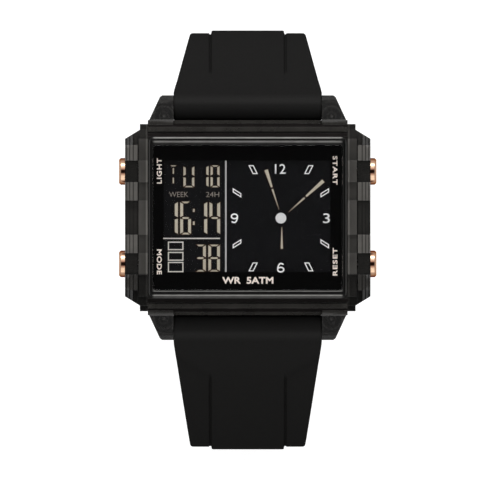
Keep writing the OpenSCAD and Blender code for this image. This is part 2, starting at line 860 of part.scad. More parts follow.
// Half width and half thickness of the strap at s; the width falls evenly in the view from above
function blend(a, b, t) = a + (b - a) * max(0, min(1, t));
function half_thick(s) = blend(strap_root_half_t, strap_half_t, s / root_len);
function side_point(side, s, out) = let (p = strap_at(side, s))
    [p[0] - out * sin(p[2]), p[1] + out * cos(p[2])];
function bend_len(side) = side > 0 ? upper_bend_len : lower_bend_len;
function reach(side) = side > 0 ? upper_reach : lower_reach;
function half_width(side, s) = (s < bend_len(side)
    ? blend(strap_w, strap_mid_w,
        (side_point(side, s, half_thick(s))[0] - taper_y) / (reach(side) - taper_y))
    : blend(strap_mid_w, strap_end_w, (s - bend_len(side)) / end_taper_len)) / 2;
function band_end(side) = side > 0 ? upper_band_end : lower_band_end;
function band_rise(side, s) = band_h * blend(1, 0, (s - band_end(side)) / band_fade);
function wing_rise(s) = band_h * blend(1, 0, (s - full_w_end) / wing_drop_len);

// Stations between s0 and s1 where a face of the strap gets a corner
function stations(side, s0, s1) = sorted(concat([s0, s1], [for (s = [s0 + ring_step:ring_step:s1 - 1]) s],
    [for (s = [full_w_end, full_w_end + wing_drop_len, upper_band_end, upper_band_end + band_fade,
        lower_band_end, lower_band_end + band_fade]) if (s > s0 + 0.2 && s < s1 - 0.2) s]));
function sorted(list) = len(list) < 2 ? list : let (m = list[0])
    concat(sorted([for (v = list) if (v < m) v]), [m], sorted([for (v = list) if (v > m) v]));

// The strap's side view at the stations in at, drawn out across X, between the heights low and high
module strap_slab(side, at, half_w, low, high) {
    n = len(at);
    outer = [for (i = [0:n - 1]) side_point(side, at[i], high[i])];
    inner = [for (i = [n - 1:-1:0]) side_point(side, at[i], low[i])];
    mirror([0, side > 0 ? 0 : 1, 0])
        translate([-half_w, 0, 0])
            rotate([90, 0, 90])
                linear_extrude(2 * half_w)
                    polygon(concat(outer, inner));
}

// Plan of one length of the strap along its chord; the last one ends in a round tip
module strap_plan(side, s0, s1, tip) {
    a = strap_at(side, s0);
    b = strap_at(side, s1);
    chord = norm([b[0] - a[0], b[1] - a[1]]);
    w0 = half_width(side, s0);
    w1 = half_width(side, s1);
    more = 4;
    back = w0 + (w0 - w1) / chord * more;
    ahead = w1 - (w0 - w1) / chord * more;
    mirror([0, side > 0 ? 0 : 1, 0])
        translate([0, a[0], a[1]])
            rotate([atan2(b[1] - a[1], b[0] - a[0]), 0, 0])
                translate([0, 0, -chord])
                    linear_extrude(2 * chord) {
                        if (tip) {
                            polygon([[-back, -more], [back, -more], [w1, chord - w1], [-w1, chord - w1]]);
                            translate([0, chord - w1])
                                circle(w1, $fn = 96);
                        } else
                            polygon([[-back, -more], [back, -more], [ahead, chord + more],
                                [-ahead, chord + more]]);
                    }
}

// Children drawn in the strap's frame at s: X across, Y along towards the tip, Z outwards
module at_strap(side, s) {
    p = strap_at(side, s);
    mirror([0, side > 0 ? 0 : 1, 0])
        translate([0, p[0], p[1]])
            rotate([p[2], 0, 0])
                children();
}

// One stiff length of the strap: a round nose turns in the socket of the length before it
module strap_length(side, s0, s1, socket, tip = false) {
    at = stations(side, s0, s1);
    thick = [for (s = at) half_thick(s)];
    band_s0 = s0 + (s0 > 0 ? band_gap : 0);
    band_s1 = min(s1 - (socket ? band_gap : 0), band_end(side) + band_fade);
    difference() {
        intersection() {
            union() {
                strap_slab(side, at, strap_w / 2, -thick, [for (s = at) half_thick(s) + wing_rise(s)]);
                if (band_s1 > band_s0)
                    strap_band(side, stations(side, band_s0, band_s1));
                if (s0 > 0)
                    at_strap(side, s0)
                        along_x(-strap_w / 2, strap_w / 2, half_thick(s0) - nose_sink);
            }
            strap_plan(side, s0, s1, tip);
        }
        if (socket)
            at_strap(side, s1)
                along_x(-strap_w, strap_w, half_thick(s1) + knuckle_gap);
    }
}

// The raised band along the middle of the strap, its foot on the middle line
module strap_band(side, at) {
    strap_slab(side, at, band_half_w, [for (s = at) 0], [for (s = at) half_thick(s) + band_rise(side, s)]);
}

// The first length of either half, rolled round its lug bar
module strap_root(side, s1) {
    difference() {
        union() {
            strap_length(side, 0, s1, true);
            at_strap(side, 0)
                along_x(-strap_w / 2, strap_w / 2, roll_r);
        }
        at_strap(side, 0)
            along_x(-strap_w, strap_w, bar_r + run_gap);
    }
}

module strap_colour() {
    color([0.13, 0.13, 0.13])
        children();
}

module upper_strap_1() {
    strap_colour()
        strap_root(1, UPPER_CUTS[1]);
}

module upper_strap_2() {
    strap_colour()
        strap_length(1, UPPER_CUTS[1], UPPER_CUTS[2], true);
}

// The last length of the buckle half: rolled round the buckle bar, with a slot for the tongue
module upper_strap_3() {
    strap_colour()
        difference() {
            union() {
                strap_length(1, UPPER_CUTS[2], upper_len, false);
                at_strap(1, upper_len)
                    along_x(-roll_half_w, roll_half_w, buckle_roll_r);
            }
            at_strap(1, upper_len)
                along_x(-strap_w, strap_w, buckle_bar_r + press_gap);
            at_strap(1, upper_len)
                box([-fork_w / 2, -fork_len, -4], [fork_w / 2, 4, 4]);
        }
}

// Buckle holes of the hole half that lie between s0 and s1
module buckle_holes(s0, s1) {
    for (i = [0:hole_n - 1]) {
        s = lower_len - hole_tip - i * hole_pitch;
        if (s > s0 && s < s1)
            at_strap(-1, s)
                translate([0, 0, -5])
                    cylinder(h = 10, r = hole_r);
    }
}

module lower_strap_1() {
    strap_colour()
        strap_root(-1, LOWER_CUTS[1]);
}

module lower_strap(i) {
    strap_colour()
        difference() {
            strap_length(-1, LOWER_CUTS[i], LOWER_CUTS[i + 1], i < 3, i == 3);
            buckle_holes(LOWER_CUTS[i], LOWER_CUTS[i + 1]);
        }
}

// A loop round the strap with room for the other half's tail on its outer side
module keeper(s) {
    w = half_width(1, UPPER_CUTS[2]) + keeper_fit / 2;
    low = -strap_half_t - keeper_fit / 2;
    high = strap_half_t + tail_room;
    at_strap(1, s)
        difference() {
            box([-w - keeper_t, 0, low - keeper_t], [w + keeper_t, keeper_len, high + keeper_t]);
            box([-w, -1, low], [w, keeper_len + 1, high]);
        }
}

module fixed_keeper() {
    strap_colour()
        keeper(fixed_keeper_s);
}

module free_keeper() {
    strap_colour()
        keeper(free_keeper_s);
}

// Children drawn in the buckle's frame: X across, Y from the bar to the far edge, Z outwards
module at_buckle() {
    p = upper_at(upper_len);
    translate([0, p[0], p[1]])
        rotate([buckle_heading, 0, 0])
            children();
}

module buckle_bar() {
    color("silver") {
        at_strap(1, upper_len)
            along_x(-arm_x, arm_x, buckle_bar_r - press_gap);
        at_strap(1, upper_len)
            along_x(-arm_x - 1, arm_x + 1, buckle_bar_r - 0.25);
    }
}

module buckle_frame() {
    out_x = arm_x + buckle_arm_w;
    bar_w = 2.6;
    color([0.12, 0.12, 0.12])
        at_buckle()
            difference() {
                union() {
                    box([-out_x, 0, -buckle_t / 2], [out_x, buckle_len, buckle_t / 2]);
                    for (sx = [0, 1])
                        mirror([sx, 0, 0])
                            along_x(arm_x, out_x, buckle_t / 2 + 0.35);
                }
                box([-arm_x, -5, -5], [arm_x, buckle_len - bar_w, 5]);
                along_x(-arm_x - 1.05, arm_x + 1.05, buckle_bar_r - 0.25 + run_gap);
                box([-tongue_w / 2 - 0.2, buckle_len - bar_w - 1, -0.15],
                    [tongue_w / 2 + 0.2, buckle_len + 1, 3]);
            }
}

module buckle_tongue() {
    color("silver")
        at_buckle()
            difference() {
                union() {
                    along_x(-tongue_w / 2, tongue_w / 2, eye_r);
                    box([-tongue_w / 2, 0, -0.05], [tongue_w / 2, buckle_len + 0.1, 0.95]);
                }
                along_x(-tongue_w, tongue_w, buckle_bar_r + run_gap);
            }
}

case_middle();
bezel();
crystal();
crystal_gasket();
dial_mask();
lcd_front_polariser();
lcd_front_glass();
lcd_rear_glass();
lcd_reflector();
light_panel();
light_led();
zebra_strips();
lcd_frame();
circuit_board();
driver_chip();
board_parts();
quartz_can();
pusher_contacts();
coin_cell();
cell_contact();
cell_clip();
battery_holder();
module_screws();
buzzer_disc();
buzzer_spring();
back_gasket();
case_back();
case_back_screws();
pusher_seals();
lug_bar_barrels();
lug_bar_tips();
pusher(0);  // pusher_light
pusher(1);  // pusher_mode
pusher(2);  // pusher_start
pusher(3);  // pusher_reset
pusher_spring(0);  // spring_light
pusher_spring(1);  // spring_mode
pusher_spring(2);  // spring_start
pusher_spring(3);  // spring_reset
pusher_clip(0);  // clip_light
pusher_clip(1);  // clip_mode
pusher_clip(2);  // clip_start
pusher_clip(3);  // clip_reset
upper_strap_1();
upper_strap_2();
upper_strap_3();
lower_strap_1();
lower_strap(1);  // lower_strap_2
lower_strap(2);  // lower_strap_3
lower_strap(3);  // lower_strap_4
fixed_keeper();
free_keeper();
buckle_bar();
buckle_frame();
buckle_tongue();
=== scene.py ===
"""Looks of a digital watch: smoke plastic case, black display, rose gold pushers, resin strap."""
import json
import math

import bpy
from mathutils import Matrix, Vector


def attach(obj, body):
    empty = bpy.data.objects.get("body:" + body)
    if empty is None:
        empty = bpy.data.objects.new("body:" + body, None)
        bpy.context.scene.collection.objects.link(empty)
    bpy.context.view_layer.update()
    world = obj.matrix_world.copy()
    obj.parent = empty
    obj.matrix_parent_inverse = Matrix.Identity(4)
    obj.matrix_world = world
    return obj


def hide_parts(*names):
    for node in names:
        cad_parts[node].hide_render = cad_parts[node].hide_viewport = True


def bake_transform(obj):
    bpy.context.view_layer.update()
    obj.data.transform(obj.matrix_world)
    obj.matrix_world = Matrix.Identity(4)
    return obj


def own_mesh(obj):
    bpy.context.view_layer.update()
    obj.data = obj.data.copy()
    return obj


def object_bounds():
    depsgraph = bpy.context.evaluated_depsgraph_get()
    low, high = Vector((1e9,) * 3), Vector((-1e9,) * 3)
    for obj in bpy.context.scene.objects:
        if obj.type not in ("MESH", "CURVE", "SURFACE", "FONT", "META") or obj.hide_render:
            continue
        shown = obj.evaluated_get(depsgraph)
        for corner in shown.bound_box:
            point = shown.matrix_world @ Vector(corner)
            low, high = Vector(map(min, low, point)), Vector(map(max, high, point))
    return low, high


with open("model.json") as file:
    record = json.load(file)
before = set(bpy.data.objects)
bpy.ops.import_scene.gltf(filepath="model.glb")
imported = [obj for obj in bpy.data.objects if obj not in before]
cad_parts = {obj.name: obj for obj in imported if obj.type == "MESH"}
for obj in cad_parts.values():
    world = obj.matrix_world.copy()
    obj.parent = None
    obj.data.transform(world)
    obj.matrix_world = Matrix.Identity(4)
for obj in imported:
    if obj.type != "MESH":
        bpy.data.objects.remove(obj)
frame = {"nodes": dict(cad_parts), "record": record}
cad_low, cad_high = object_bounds()

# Sizes of the watch are in mm, and MM turns them into Blender's metres
MM = 0.001


# Shader nodes

def shader_node(tree, kind, inputs=None, **settings):
    """A new node with these settings, whose inputs are set to values or linked to sockets."""
    made = tree.nodes.new(kind)
    for setting, value in settings.items():
        setattr(made, setting, value)
    for key, value in (inputs or {}).items():
        if isinstance(value, bpy.types.NodeSocket):
            tree.links.new(value, made.inputs[key])
        else:
            made.inputs[key].default_value = value
    return made


def sum_of(tree, operation, first, second):
    """One of Blender's sums on two sockets, or on a socket and a number."""
    return shader_node(tree, "ShaderNodeMath", {0: first, 1: second}, operation=operation).outputs["Value"]


def parts_of(tree, vector):
    """The three parts of a vector, as sockets."""
    return shader_node(tree, "ShaderNodeSeparateXYZ", {"Vector": vector}).outputs


def size_of(tree, vector):
    """A vector with its parts made positive."""
    return shader_node(tree, "ShaderNodeVectorMath", {0: vector}, operation="ABSOLUTE").outputs["Vector"]


def place(tree):
    """Where a point lies on its piece."""
    return shader_node(tree, "ShaderNodeTexCoord").outputs["Object"]


def apart(tree, axis):
    """How far a point lies from the watch's middle plane across this axis."""
    return parts_of(tree, size_of(tree, place(tree)))[axis]


def along_dial(tree):
    """How far a point lies towards twelve; negative towards six."""
    return parts_of(tree, place(tree))["Y"]


def mixed(tree, kind, factor, first, second):
    """Two colours mixed or multiplied; factor is a number or a socket."""
    return shader_node(tree, "ShaderNodeMix", {"Factor": factor, "A": first, "B": second},
                       data_type="RGBA", blend_type=kind).outputs["Result"]


def tone_ramp(tree, distance, low, high, tones, powers=(1, 1, 1)):
    """A grey that changes with a distance, through (distance in mm, tone) pairs; powers tint its dark end."""
    level = shader_node(tree, "ShaderNodeMapRange",
                        {"Value": distance, "From Min": low * MM, "From Max": high * MM})
    shades = shader_node(tree, "ShaderNodeValToRGB", {"Fac": level.outputs["Result"]})
    elements = shades.color_ramp.elements
    while len(elements) < len(tones):
        elements.new(0.5)
    for element, (at, tone) in zip(elements, tones):
        element.position = (at - low) / (high - low)
        element.color = (*[tone ** power for power in powers], 1)
    return shades.outputs["Color"]


def toned(tree, tone):
    """Multiplies the base colour by a tone."""
    base = tree.nodes["Principled BSDF"].inputs["Base Color"]
    tree.links.new(mixed(tree, "MULTIPLY", 1.0, base.links[0].from_socket, tone), base)


# Finishes

SMOKE_TINT = (0.25, 0.24, 0.23)
GLASS_TINT = (0.95, 0.95, 0.95)
NOISE_DETAIL = 3
NOISE_SPAN = (0.3, 0.7)
SMOOTHEST = 0.02


def linear(red, green, blue):
    """A screen colour from 0 to 255 as the shader's own numbers."""
    shares = [value / 255 for value in (red, green, blue)]
    return [share / 12.92 if share <= 0.04045 else ((share + 0.055) / 1.055) ** 2.4 for share in shares]


def finish(name, colour, roughness, grain=0.3, bump=0.01, tone=0.15, spread=0.08, stretch=(1, 1, 1),
           **sockets):
    """A finish whose colour, roughness and height vary with noise of the grain's size in mm."""
    material = bpy.data.materials.new(name)
    material.use_nodes = True
    tree = material.node_tree
    shader = tree.nodes["Principled BSDF"]
    for socket, value in sockets.items():
        shader.inputs[socket.replace("_", " ")].default_value = value
    mapping = shader_node(tree, "ShaderNodeMapping", {"Vector": place(tree), "Scale": stretch})
    clouds = shader_node(tree, "ShaderNodeTexNoise", {
        "Vector": mapping.outputs["Vector"], "Scale": 1 / (grain * MM), "Detail": NOISE_DETAIL})
    noise = clouds.outputs["Fac"]
    shades = shader_node(tree, "ShaderNodeValToRGB", {"Fac": noise})
    for element, position, share in zip(shades.color_ramp.elements, NOISE_SPAN, (1 - tone, 1 + tone)):
        element.position = position
        element.color = (*[min(1, value * share) for value in colour], 1)
    rough = shader_node(tree, "ShaderNodeMapRange", {
        "Value": noise, "To Min": max(SMOOTHEST, roughness - spread), "To Max": min(1, roughness + spread)})
    relief = shader_node(tree, "ShaderNodeBump", {"Height": noise, "Strength": 1, "Distance": bump * MM})
    tree.links.new(shades.outputs["Color"], shader.inputs["Base Color"])
    tree.links.new(rough.outputs["Result"], shader.inputs["Roughness"])
    tree.links.new(relief.outputs["Normal"], shader.inputs["Normal"])
    return material


def ink(name, red, green, blue, tone=0.08, grain=0.15):
    """A printed or lit colour, from its screen numbers."""
    return finish(name, linear(red, green, blue), 0.5, grain=grain, bump=0.002, tone=tone,
                  Specular_IOR_Level=0.2)


def lets_lamps_in(tree, tint):
    """Lamps shine through this glass or plastic on to what it covers."""
    path = shader_node(tree, "ShaderNodeLightPath")
    clear = shader_node(tree, "ShaderNodeBsdfTransparent", {"Color": (*tint, 1)})
    mix = shader_node(tree, "ShaderNodeMixShader", {
        "Fac": path.outputs["Is Shadow Ray"], 1: tree.nodes["Principled BSDF"].outputs["BSDF"],
        2: clear.outputs["BSDF"]})
    tree.links.new(mix.outputs["Shader"], tree.nodes["Material Output"].inputs["Surface"])


# Smoke plastic, with painted light and shade: its tone goes up and down in bands with height, for the
# highlights and shade on its blocks
SMOKE = finish("smoke_plastic", (0.075, 0.071, 0.065), 0.16, grain=2.5, bump=0.004, tone=0.15,
               Transmission_Weight=0.3, IOR=1.49, Specular_IOR_Level=0.25)
tree = SMOKE.node_tree
toned(tree, tone_ramp(tree, apart(tree, "Z"), 0, 12, (
    (5.9, 0.15), (6.3, 0.3), (6.6, 0.6), (6.9, 0.1), (7.5, 0.5), (7.65, 0.6), (7.8, 0.1), (8.5, 0.12),
    (8.6, 0.5), (8.7, 0.12), (8.9, 0.62), (9.2, 0.2), (10, 0.15))))
lets_lamps_in(tree, SMOKE_TINT)
# Painted shade: near-black smoke for the recess floors by the pushers and the step faces before the lugs,
# where shade falls
SMOKE_PAINTED_SHADE = finish("smoke_painted_shade", (0.012, 0.0105, 0.0102), 0.3, grain=2.5, bump=0.004, tone=0.15,
                    IOR=1.49, Specular_IOR_Level=0.0)

# Lugs, with painted rings of reflected light round the screws, as if the screws showed through them
SCREW_PLACE = (14.7 * MM, 17.75 * MM, 0)
SMOKE_LUG = finish("smoke_lug", (0.03, 0.0288, 0.0275), 0.07, grain=0.5, bump=0.002, tone=0.35,
                   Transmission_Weight=0.7, IOR=1.49, Specular_IOR_Level=0.05,
                   Specular_Tint=(0.2, 0.2, 0.2, 1))
tree = SMOKE_LUG.node_tree
level_place = shader_node(tree, "ShaderNodeVectorMath", {0: size_of(tree, place(tree)), 1: (1, 1, 0)},
                          operation="MULTIPLY").outputs["Vector"]
screw_reach = shader_node(tree, "ShaderNodeVectorMath", {0: level_place, 1: SCREW_PLACE},
                          operation="DISTANCE").outputs["Value"]
toned(tree, tone_ramp(tree, screw_reach, 0, 5, (
    (0.1, 3.5), (0.22, 2.5), (0.35, 0.6), (0.6, 0.7), (0.78, 1.7), (0.95, 0.7), (1.5, 0.8), (1.8, 2.2),
    (2.0, 0.7), (2.6, 1.2), (3.0, 0.9))))
lets_lamps_in(tree, SMOKE_TINT)

# Rails, with painted light and shade: bands by height, a painted highlight line beside the bezel, and painted
# shade at their ends towards six
SMOKE_RAIL = finish("smoke_rail", (0.16, 0.152, 0.141), 0.16, grain=2.5, bump=0.004, tone=0.12,
                    Transmission_Weight=0.3, IOR=1.49, Specular_IOR_Level=0.3)
tree = SMOKE_RAIL.node_tree
toned(tree, tone_ramp(tree, apart(tree, "Z"), 0, 12, (
    (6.0, 0.2), (8.0, 0.1), (8.3, 0.16), (8.6, 0.38), (8.9, 0.12), (8.97, 0.11), (9.16, 0.5), (9.23, 0.55),
    (9.3, 1.0), (9.6, 0.3))))
toned(tree, tone_ramp(tree, apart(tree, "X"), 17, 22, ((17.5, 1.6), (17.6, 2.6), (17.8, 2.6), (17.88, 1.0))))
toned(tree, tone_ramp(tree, along_dial(tree), -22, 22, ((-9.95, 0.28), (-9.75, 1.0))))
lets_lamps_in(tree, SMOKE_TINT)

# Bezel, with painted highlight and painted shade lines along it: one set at twelve, one at six and one at
# both ends
SMOKE_BEZEL = finish("smoke_bezel", (0.16, 0.157, 0.15), 0.14, grain=1.5, bump=0.002, tone=0.12,
                     Transmission_Weight=0.1, IOR=1.52, Specular_IOR_Level=0.3)
tree = SMOKE_BEZEL.node_tree
twelve_painted_light = tone_ramp(tree, apart(tree, "Y"), 12, 15, (
    (12.95, 0.1), (13.12, 0.25), (13.2, 1.2), (13.46, 1.2), (13.52, 0.02), (13.82, 0.02), (13.88, 1.9),
    (14.04, 1.9), (14.09, 0.45)))
six_painted_light = tone_ramp(tree, apart(tree, "Y"), 12, 15, (
    (12.8, 0.85), (12.95, 0.85), (13.02, 0.02), (13.38, 0.02), (13.46, 0.7), (13.54, 1.9), (13.68, 1.9),
    (13.74, 0.25), (14.06, 0.4), (14.18, 0.1)))
end_painted_light = tone_ramp(tree, apart(tree, "X"), 16, 18, (
    (16.6, 0.05), (16.8, 0.05), (16.85, 0.02), (17.07, 0.02), (17.12, 0.2), (17.3, 0.2)))
towards_six = tone_ramp(tree, along_dial(tree), -15, 15, ((-1, 1.0), (1, 0.0)))
towards_end = tone_ramp(tree, apart(tree, "X"), 15, 18, ((16.3, 0.0), (16.7, 1.0)))
side_painted_light = mixed(tree, "MIX", towards_six, twelve_painted_light, six_painted_light)
toned(tree, mixed(tree, "MIX", towards_end, side_painted_light, end_painted_light))
lets_lamps_in(tree, SMOKE_TINT)

CRYSTAL = finish("crystal_glass", (0.98, 0.98, 0.98), 0.02, grain=6, bump=0.0005, tone=0.0, spread=0.01,
                 Transmission_Weight=1.0, IOR=1.45)
lets_lamps_in(CRYSTAL.node_tree, GLASS_TINT)
RUBBER = finish("black_rubber", (0.012, 0.012, 0.012), 0.6, grain=0.2, bump=0.01)
MASK_BLACK = finish("mask_black", (0.0012, 0.0012, 0.0012), 0.5, grain=0.15, bump=0.002, tone=0.3,
                    Specular_IOR_Level=0.0)
PRINT_WHITE = ink("print_white", 250, 250, 250, tone=0.06)
PRINT_GREY = ink("print_grey", 182, 182, 182)
PRINT_SILVER = ink("print_silver", 218, 214, 206)
PRINT_TAUPE = ink("print_taupe", 150, 141, 132)
PRINT_WARM = ink("print_warm", 252, 236, 226)
PRINT_HUB = finish("print_hub", linear(222, 222, 222), 0.35, grain=0.12, bump=0.004, tone=0.08)
SEGMENT = ink("display_segment", 192, 185, 167, tone=0.12, grain=0.12)
FRINGE = ink("segment_fringe", 86, 60, 40, tone=0.3, grain=0.12)
FILM = finish("display_film", linear(16, 16, 18), 0.45, grain=0.5, bump=0.001, tone=0.12,
              Specular_IOR_Level=0.0)
DISPLAY_GLASS = finish("display_glass", (0.6, 0.62, 0.6), 0.05, grain=3, bump=0.0005, tone=0.03,
                       Transmission_Weight=0.8)
LIGHT_PLASTIC = finish("light_plastic", (0.75, 0.76, 0.72), 0.4, grain=0.6, bump=0.004, tone=0.05)
CONNECTOR = finish("connector_rubber", (0.5, 0.2, 0.25), 0.55, grain=0.08, bump=0.01, tone=0.3,
                   stretch=(1, 0.1, 0.1))
MODULE_PLASTIC = finish("module_plastic", (0.7, 0.69, 0.66), 0.5, grain=0.4, bump=0.006, tone=0.05)
HOLDER_PLASTIC = finish("holder_plastic", (0.02, 0.02, 0.022), 0.5, grain=0.4, bump=0.008)
BOARD = finish("board", (0.02, 0.11, 0.05), 0.4, grain=0.8, bump=0.006, tone=0.3)
BRASS = finish("contact_brass", (0.75, 0.55, 0.25), 0.3, grain=0.3, bump=0.002, tone=0.1, Metallic=1.0)
STEEL = finish("steel", (0.62, 0.61, 0.6), 0.28, grain=0.25, bump=0.003, tone=0.08, stretch=(1, 0.15, 1),
               Metallic=1.0)
CELL_STEEL = finish("cell_steel", (0.66, 0.66, 0.65), 0.3, grain=0.3, bump=0.003, tone=0.06,
                    stretch=(0.12, 1, 1), Metallic=1.0)
BACK_STEEL = finish("back_steel", (0.56, 0.555, 0.55), 0.32, grain=0.22, bump=0.004, tone=0.08,
                    stretch=(0.06, 1, 1), Metallic=1.0)

# Rose gold with painted reflections: bright where it faces half up, brown where it faces straight up or down
# to the side, and painted shade that darkens the stem inside the case
ROSE_END = 0.97
ROSE = finish("rose_metal", linear(196, 164, 138), 0.14, grain=0.15, bump=0.001, tone=0.05, spread=0.03,
              Metallic=1.0, Specular_Tint=(0.4, 0.22, 0.12, 1))
tree = ROSE.node_tree
facing = parts_of(tree, size_of(tree, shader_node(tree, "ShaderNodeNewGeometry").outputs["Normal"]))
turned = sum_of(tree, "MAXIMUM", facing["Z"], sum_of(tree, "MULTIPLY", facing["X"], ROSE_END))
toned(tree, tone_ramp(tree, turned, 0, 1 / MM, (
    (280, 0.12), (400, 0.35), (650, 0.6), (730, 0.8), (850, 1.1), (935, 1.1), (960, 0.75), (980, 0.5),
    (995, 0.2)), powers=(1, 1.3, 1.35)))
toned(tree, tone_ramp(tree, apart(tree, "X"), 10, 25, ((20.2, 0.02), (20.4, 1.0))))

# Strap resin, with a painted highlight across each half where it rolls over its lug bar
RESIN = finish("strap_resin", (0.0152, 0.0149, 0.0146), 0.6, grain=0.09, bump=0.012, tone=0.2,
               Specular_IOR_Level=0.0)
tree = RESIN.node_tree
toned(tree, tone_ramp(tree, apart(tree, "Y"), 0, 40, (
    (18.9, 0.9), (19.7, 1.0), (20.3, 1.45), (20.8, 1.4), (21.7, 1.0))))
BUCKLE_BLACK = finish("buckle_black", (0.03, 0.03, 0.031), 0.3, grain=0.12, bump=0.003, tone=0.15,
                      stretch=(0.15, 1, 1), Metallic=0.85)

SLOT_FINISH = {
    "smoke_plastic": SMOKE, "smoke_bezel": SMOKE_BEZEL, "crystal_glass": CRYSTAL, "black_rubber": RUBBER,
    "dial_print": MASK_BLACK, "display_film": FILM, "display_glass": DISPLAY_GLASS,
    "light_plastic": LIGHT_PLASTIC, "connector_rubber": CONNECTOR, "module_plastic": MODULE_PLASTIC,
    "holder_plastic": HOLDER_PLASTIC, "board": BOARD, "contact_brass": BRASS, "steel": STEEL,
    "cell_steel": CELL_STEEL, "back_steel": BACK_STEEL, "rose_metal": ROSE, "strap_resin": RESIN,
    "buckle_black": BUCKLE_BLACK,
}
SLOT_OF = {row["node"]: row["material_slot"] for row in frame["record"]["subparts"]}
for node_name, cad_node in frame["nodes"].items():
    cad_node.data.materials.clear()
    cad_node.data.materials.append(SLOT_FINISH[SLOT_OF[node_name]])


# Tools of the bench

WELD = 0.002
FINE_WELD = 0.001
FACES_OUT = (bpy.ops.mesh.normals_make_consistent, {"inside": False})


def select_only(piece):
    """Selects this piece and nothing else."""
    bpy.ops.object.select_all(action="DESELECT")
    piece.select_set(True)
    bpy.context.view_layer.objects.active = piece


def in_edit(piece, *steps):
    """Does each (operator, settings) step on all of the piece in edit mode."""
    select_only(piece)
    bpy.ops.object.mode_set(mode="EDIT")
    bpy.ops.mesh.select_all(action="SELECT")
    for step, settings in steps:
        step(**settings)
    bpy.ops.object.mode_set(mode="OBJECT")


def modify(piece, kind, **settings):
    """Adds a modifier with these settings and applies it."""
    select_only(piece)
    modifier = piece.modifiers.new(kind.lower(), kind)
    for setting, value in settings.items():
        setattr(modifier, setting, value)
    bpy.ops.object.modifier_apply(modifier=modifier.name)


def soften(piece, width, segments=2, angle=28):
    """Rounds every edge sharper than angle degrees by width mm."""
    modify(piece, "BEVEL", width=width * MM, segments=segments, limit_method="ANGLE",
           angle_limit=math.radians(angle), use_clamp_overlap=True, miter_outer="MITER_ARC")


def smooth(piece, angle=32, true_flats=True):
    """Smooth shading over edges duller than angle degrees, with the large faces kept flat."""
    select_only(piece)
    bpy.ops.object.shade_smooth_by_angle(angle=math.radians(angle))
    if true_flats:
        modify(piece, "WEIGHTED_NORMAL", mode="FACE_AREA", weight=100, keep_sharp=True)


def cut(piece, tool):
    """Takes the tool's shape out of the piece."""
    modify(piece, "BOOLEAN", operation="DIFFERENCE", object=tool, solver="MANIFOLD")
    bpy.data.objects.remove(tool)


def unite(piece, other):
    """Adds the other's shape to the piece."""
    modify(piece, "BOOLEAN", operation="UNION", object=other, solver="MANIFOLD")
    bpy.data.objects.remove(other)


def merge_flats(piece, angle):
    """Welds points that lie together, and merges faces less than angle degrees apart."""
    in_edit(piece, (bpy.ops.mesh.remove_doubles, {"threshold": WELD * MM}),
            (bpy.ops.mesh.dissolve_limited, {"angle_limit": math.radians(angle)}))


def added(kind, **settings):
    """A new primitive, its settings already in metres, with nothing else selected."""
    bpy.ops.object.select_all(action="DESELECT")
    kind(**settings)
    return bpy.context.active_object


def settle(piece):
    """Puts the piece's place, turn and scale into its mesh."""
    select_only(piece)
    bpy.ops.object.transform_apply(location=True, rotation=True, scale=True)


def box(low, high):
    """A box between two corners in mm."""
    piece = added(bpy.ops.mesh.primitive_cube_add, size=1,
                  location=[(a + b) / 2 * MM for a, b in zip(low, high)])
    piece.scale = [(b - a) * MM for a, b in zip(low, high)]
    settle(piece)
    return piece


def joined(pieces):
    """One piece out of several."""
    bpy.ops.object.select_all(action="DESELECT")
    for piece in pieces:
        piece.select_set(True)
    bpy.context.view_layer.objects.active = pieces[0]
    bpy.ops.object.join()
    return bpy.context.active_object


def copy_of(node_name):
    """A copy of a CAD node with its triangles merged into plain faces."""
    piece = bpy.data.objects.new(node_name, frame["nodes"][node_name].data.copy())
    bpy.context.scene.collection.objects.link(piece)
    select_only(piece)
    if piece.data.has_custom_normals:
        bpy.ops.mesh.customdata_custom_splitnormals_clear()
    merge_flats(piece, 0.6)
    return piece


def fit_out(piece, name, material, slot, body, *replaced):
    """Names the piece, gives it its finish, and lets it ride on its body in place of CAD nodes."""
    piece.name = name
    piece.data.name = name
    if material:
        piece.data.materials.clear()
        piece.data.materials.append(material)
    if body:
        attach(piece, body)
    if replaced:
        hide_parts(*replaced)
    return piece


# Case and bezel, with their edges broken, and ribs along the side rails

CASE_EDGE = 0.12
BEZEL_EDGE = 0.09
CRYSTAL_EDGE = 0.18
RAIL_START = 17.52
LUG_START = 17.15
STEP_START = 14.15
SLOT_WALL = 13.1
RIB_X = (20.04, 20.66, 21.2)
RIB_W = 0.17
RIB_DEPTH = 0.22
RIB_OVERLAP = 0.01
RIB_CLEAR = 0.5
RECESS_X = 21.36
RECESS_REACH = 0.6
RECESS_Y = (6.4, 9.8)
RECESS_Z = 8.6
RECESS_CLEAR = 1
NEAR = 0.05
UPRIGHT = 0.1
HALF_UP = 0.5
NEARLY_LEVEL = 0.93
CASE_FINISHES = (SMOKE, SMOKE_RAIL, SMOKE_PAINTED_SHADE, SMOKE_LUG)
RIB_BLOCKS = ((-3, 3, 8.3), (3, 6.2, 9.3), (-6.2, -3, 9.3), (10, 12.7, 9.3), (-12.7, -10, 9.3),
              (12.7, 15.4, 8.3), (-15.4, -12.7, 8.3))


def case_finish(face):
    """The smoke plastic of a face of the case, by its place and the way it faces."""
    across = abs(face.center.x) / MM
    along = abs(face.center.y) / MM
    up = face.normal.z
    # Recess floors and step faces get painted shade; rails and lugs get their own painted light and shade
    if across > RECESS_X - NEAR and abs(face.center.z / MM - RECESS_Z) < NEAR and up > HALF_UP:
        return SMOKE_PAINTED_SHADE
    if across > RAIL_START:
        return SMOKE_RAIL
    if along > STEP_START and abs(up) < UPRIGHT and across < SLOT_WALL:
        return SMOKE_PAINTED_SHADE
    if STEP_START < along < LUG_START and UPRIGHT < up < NEARLY_LEVEL:
        return SMOKE_PAINTED_SHADE
    return SMOKE_LUG if along > LUG_START else SMOKE


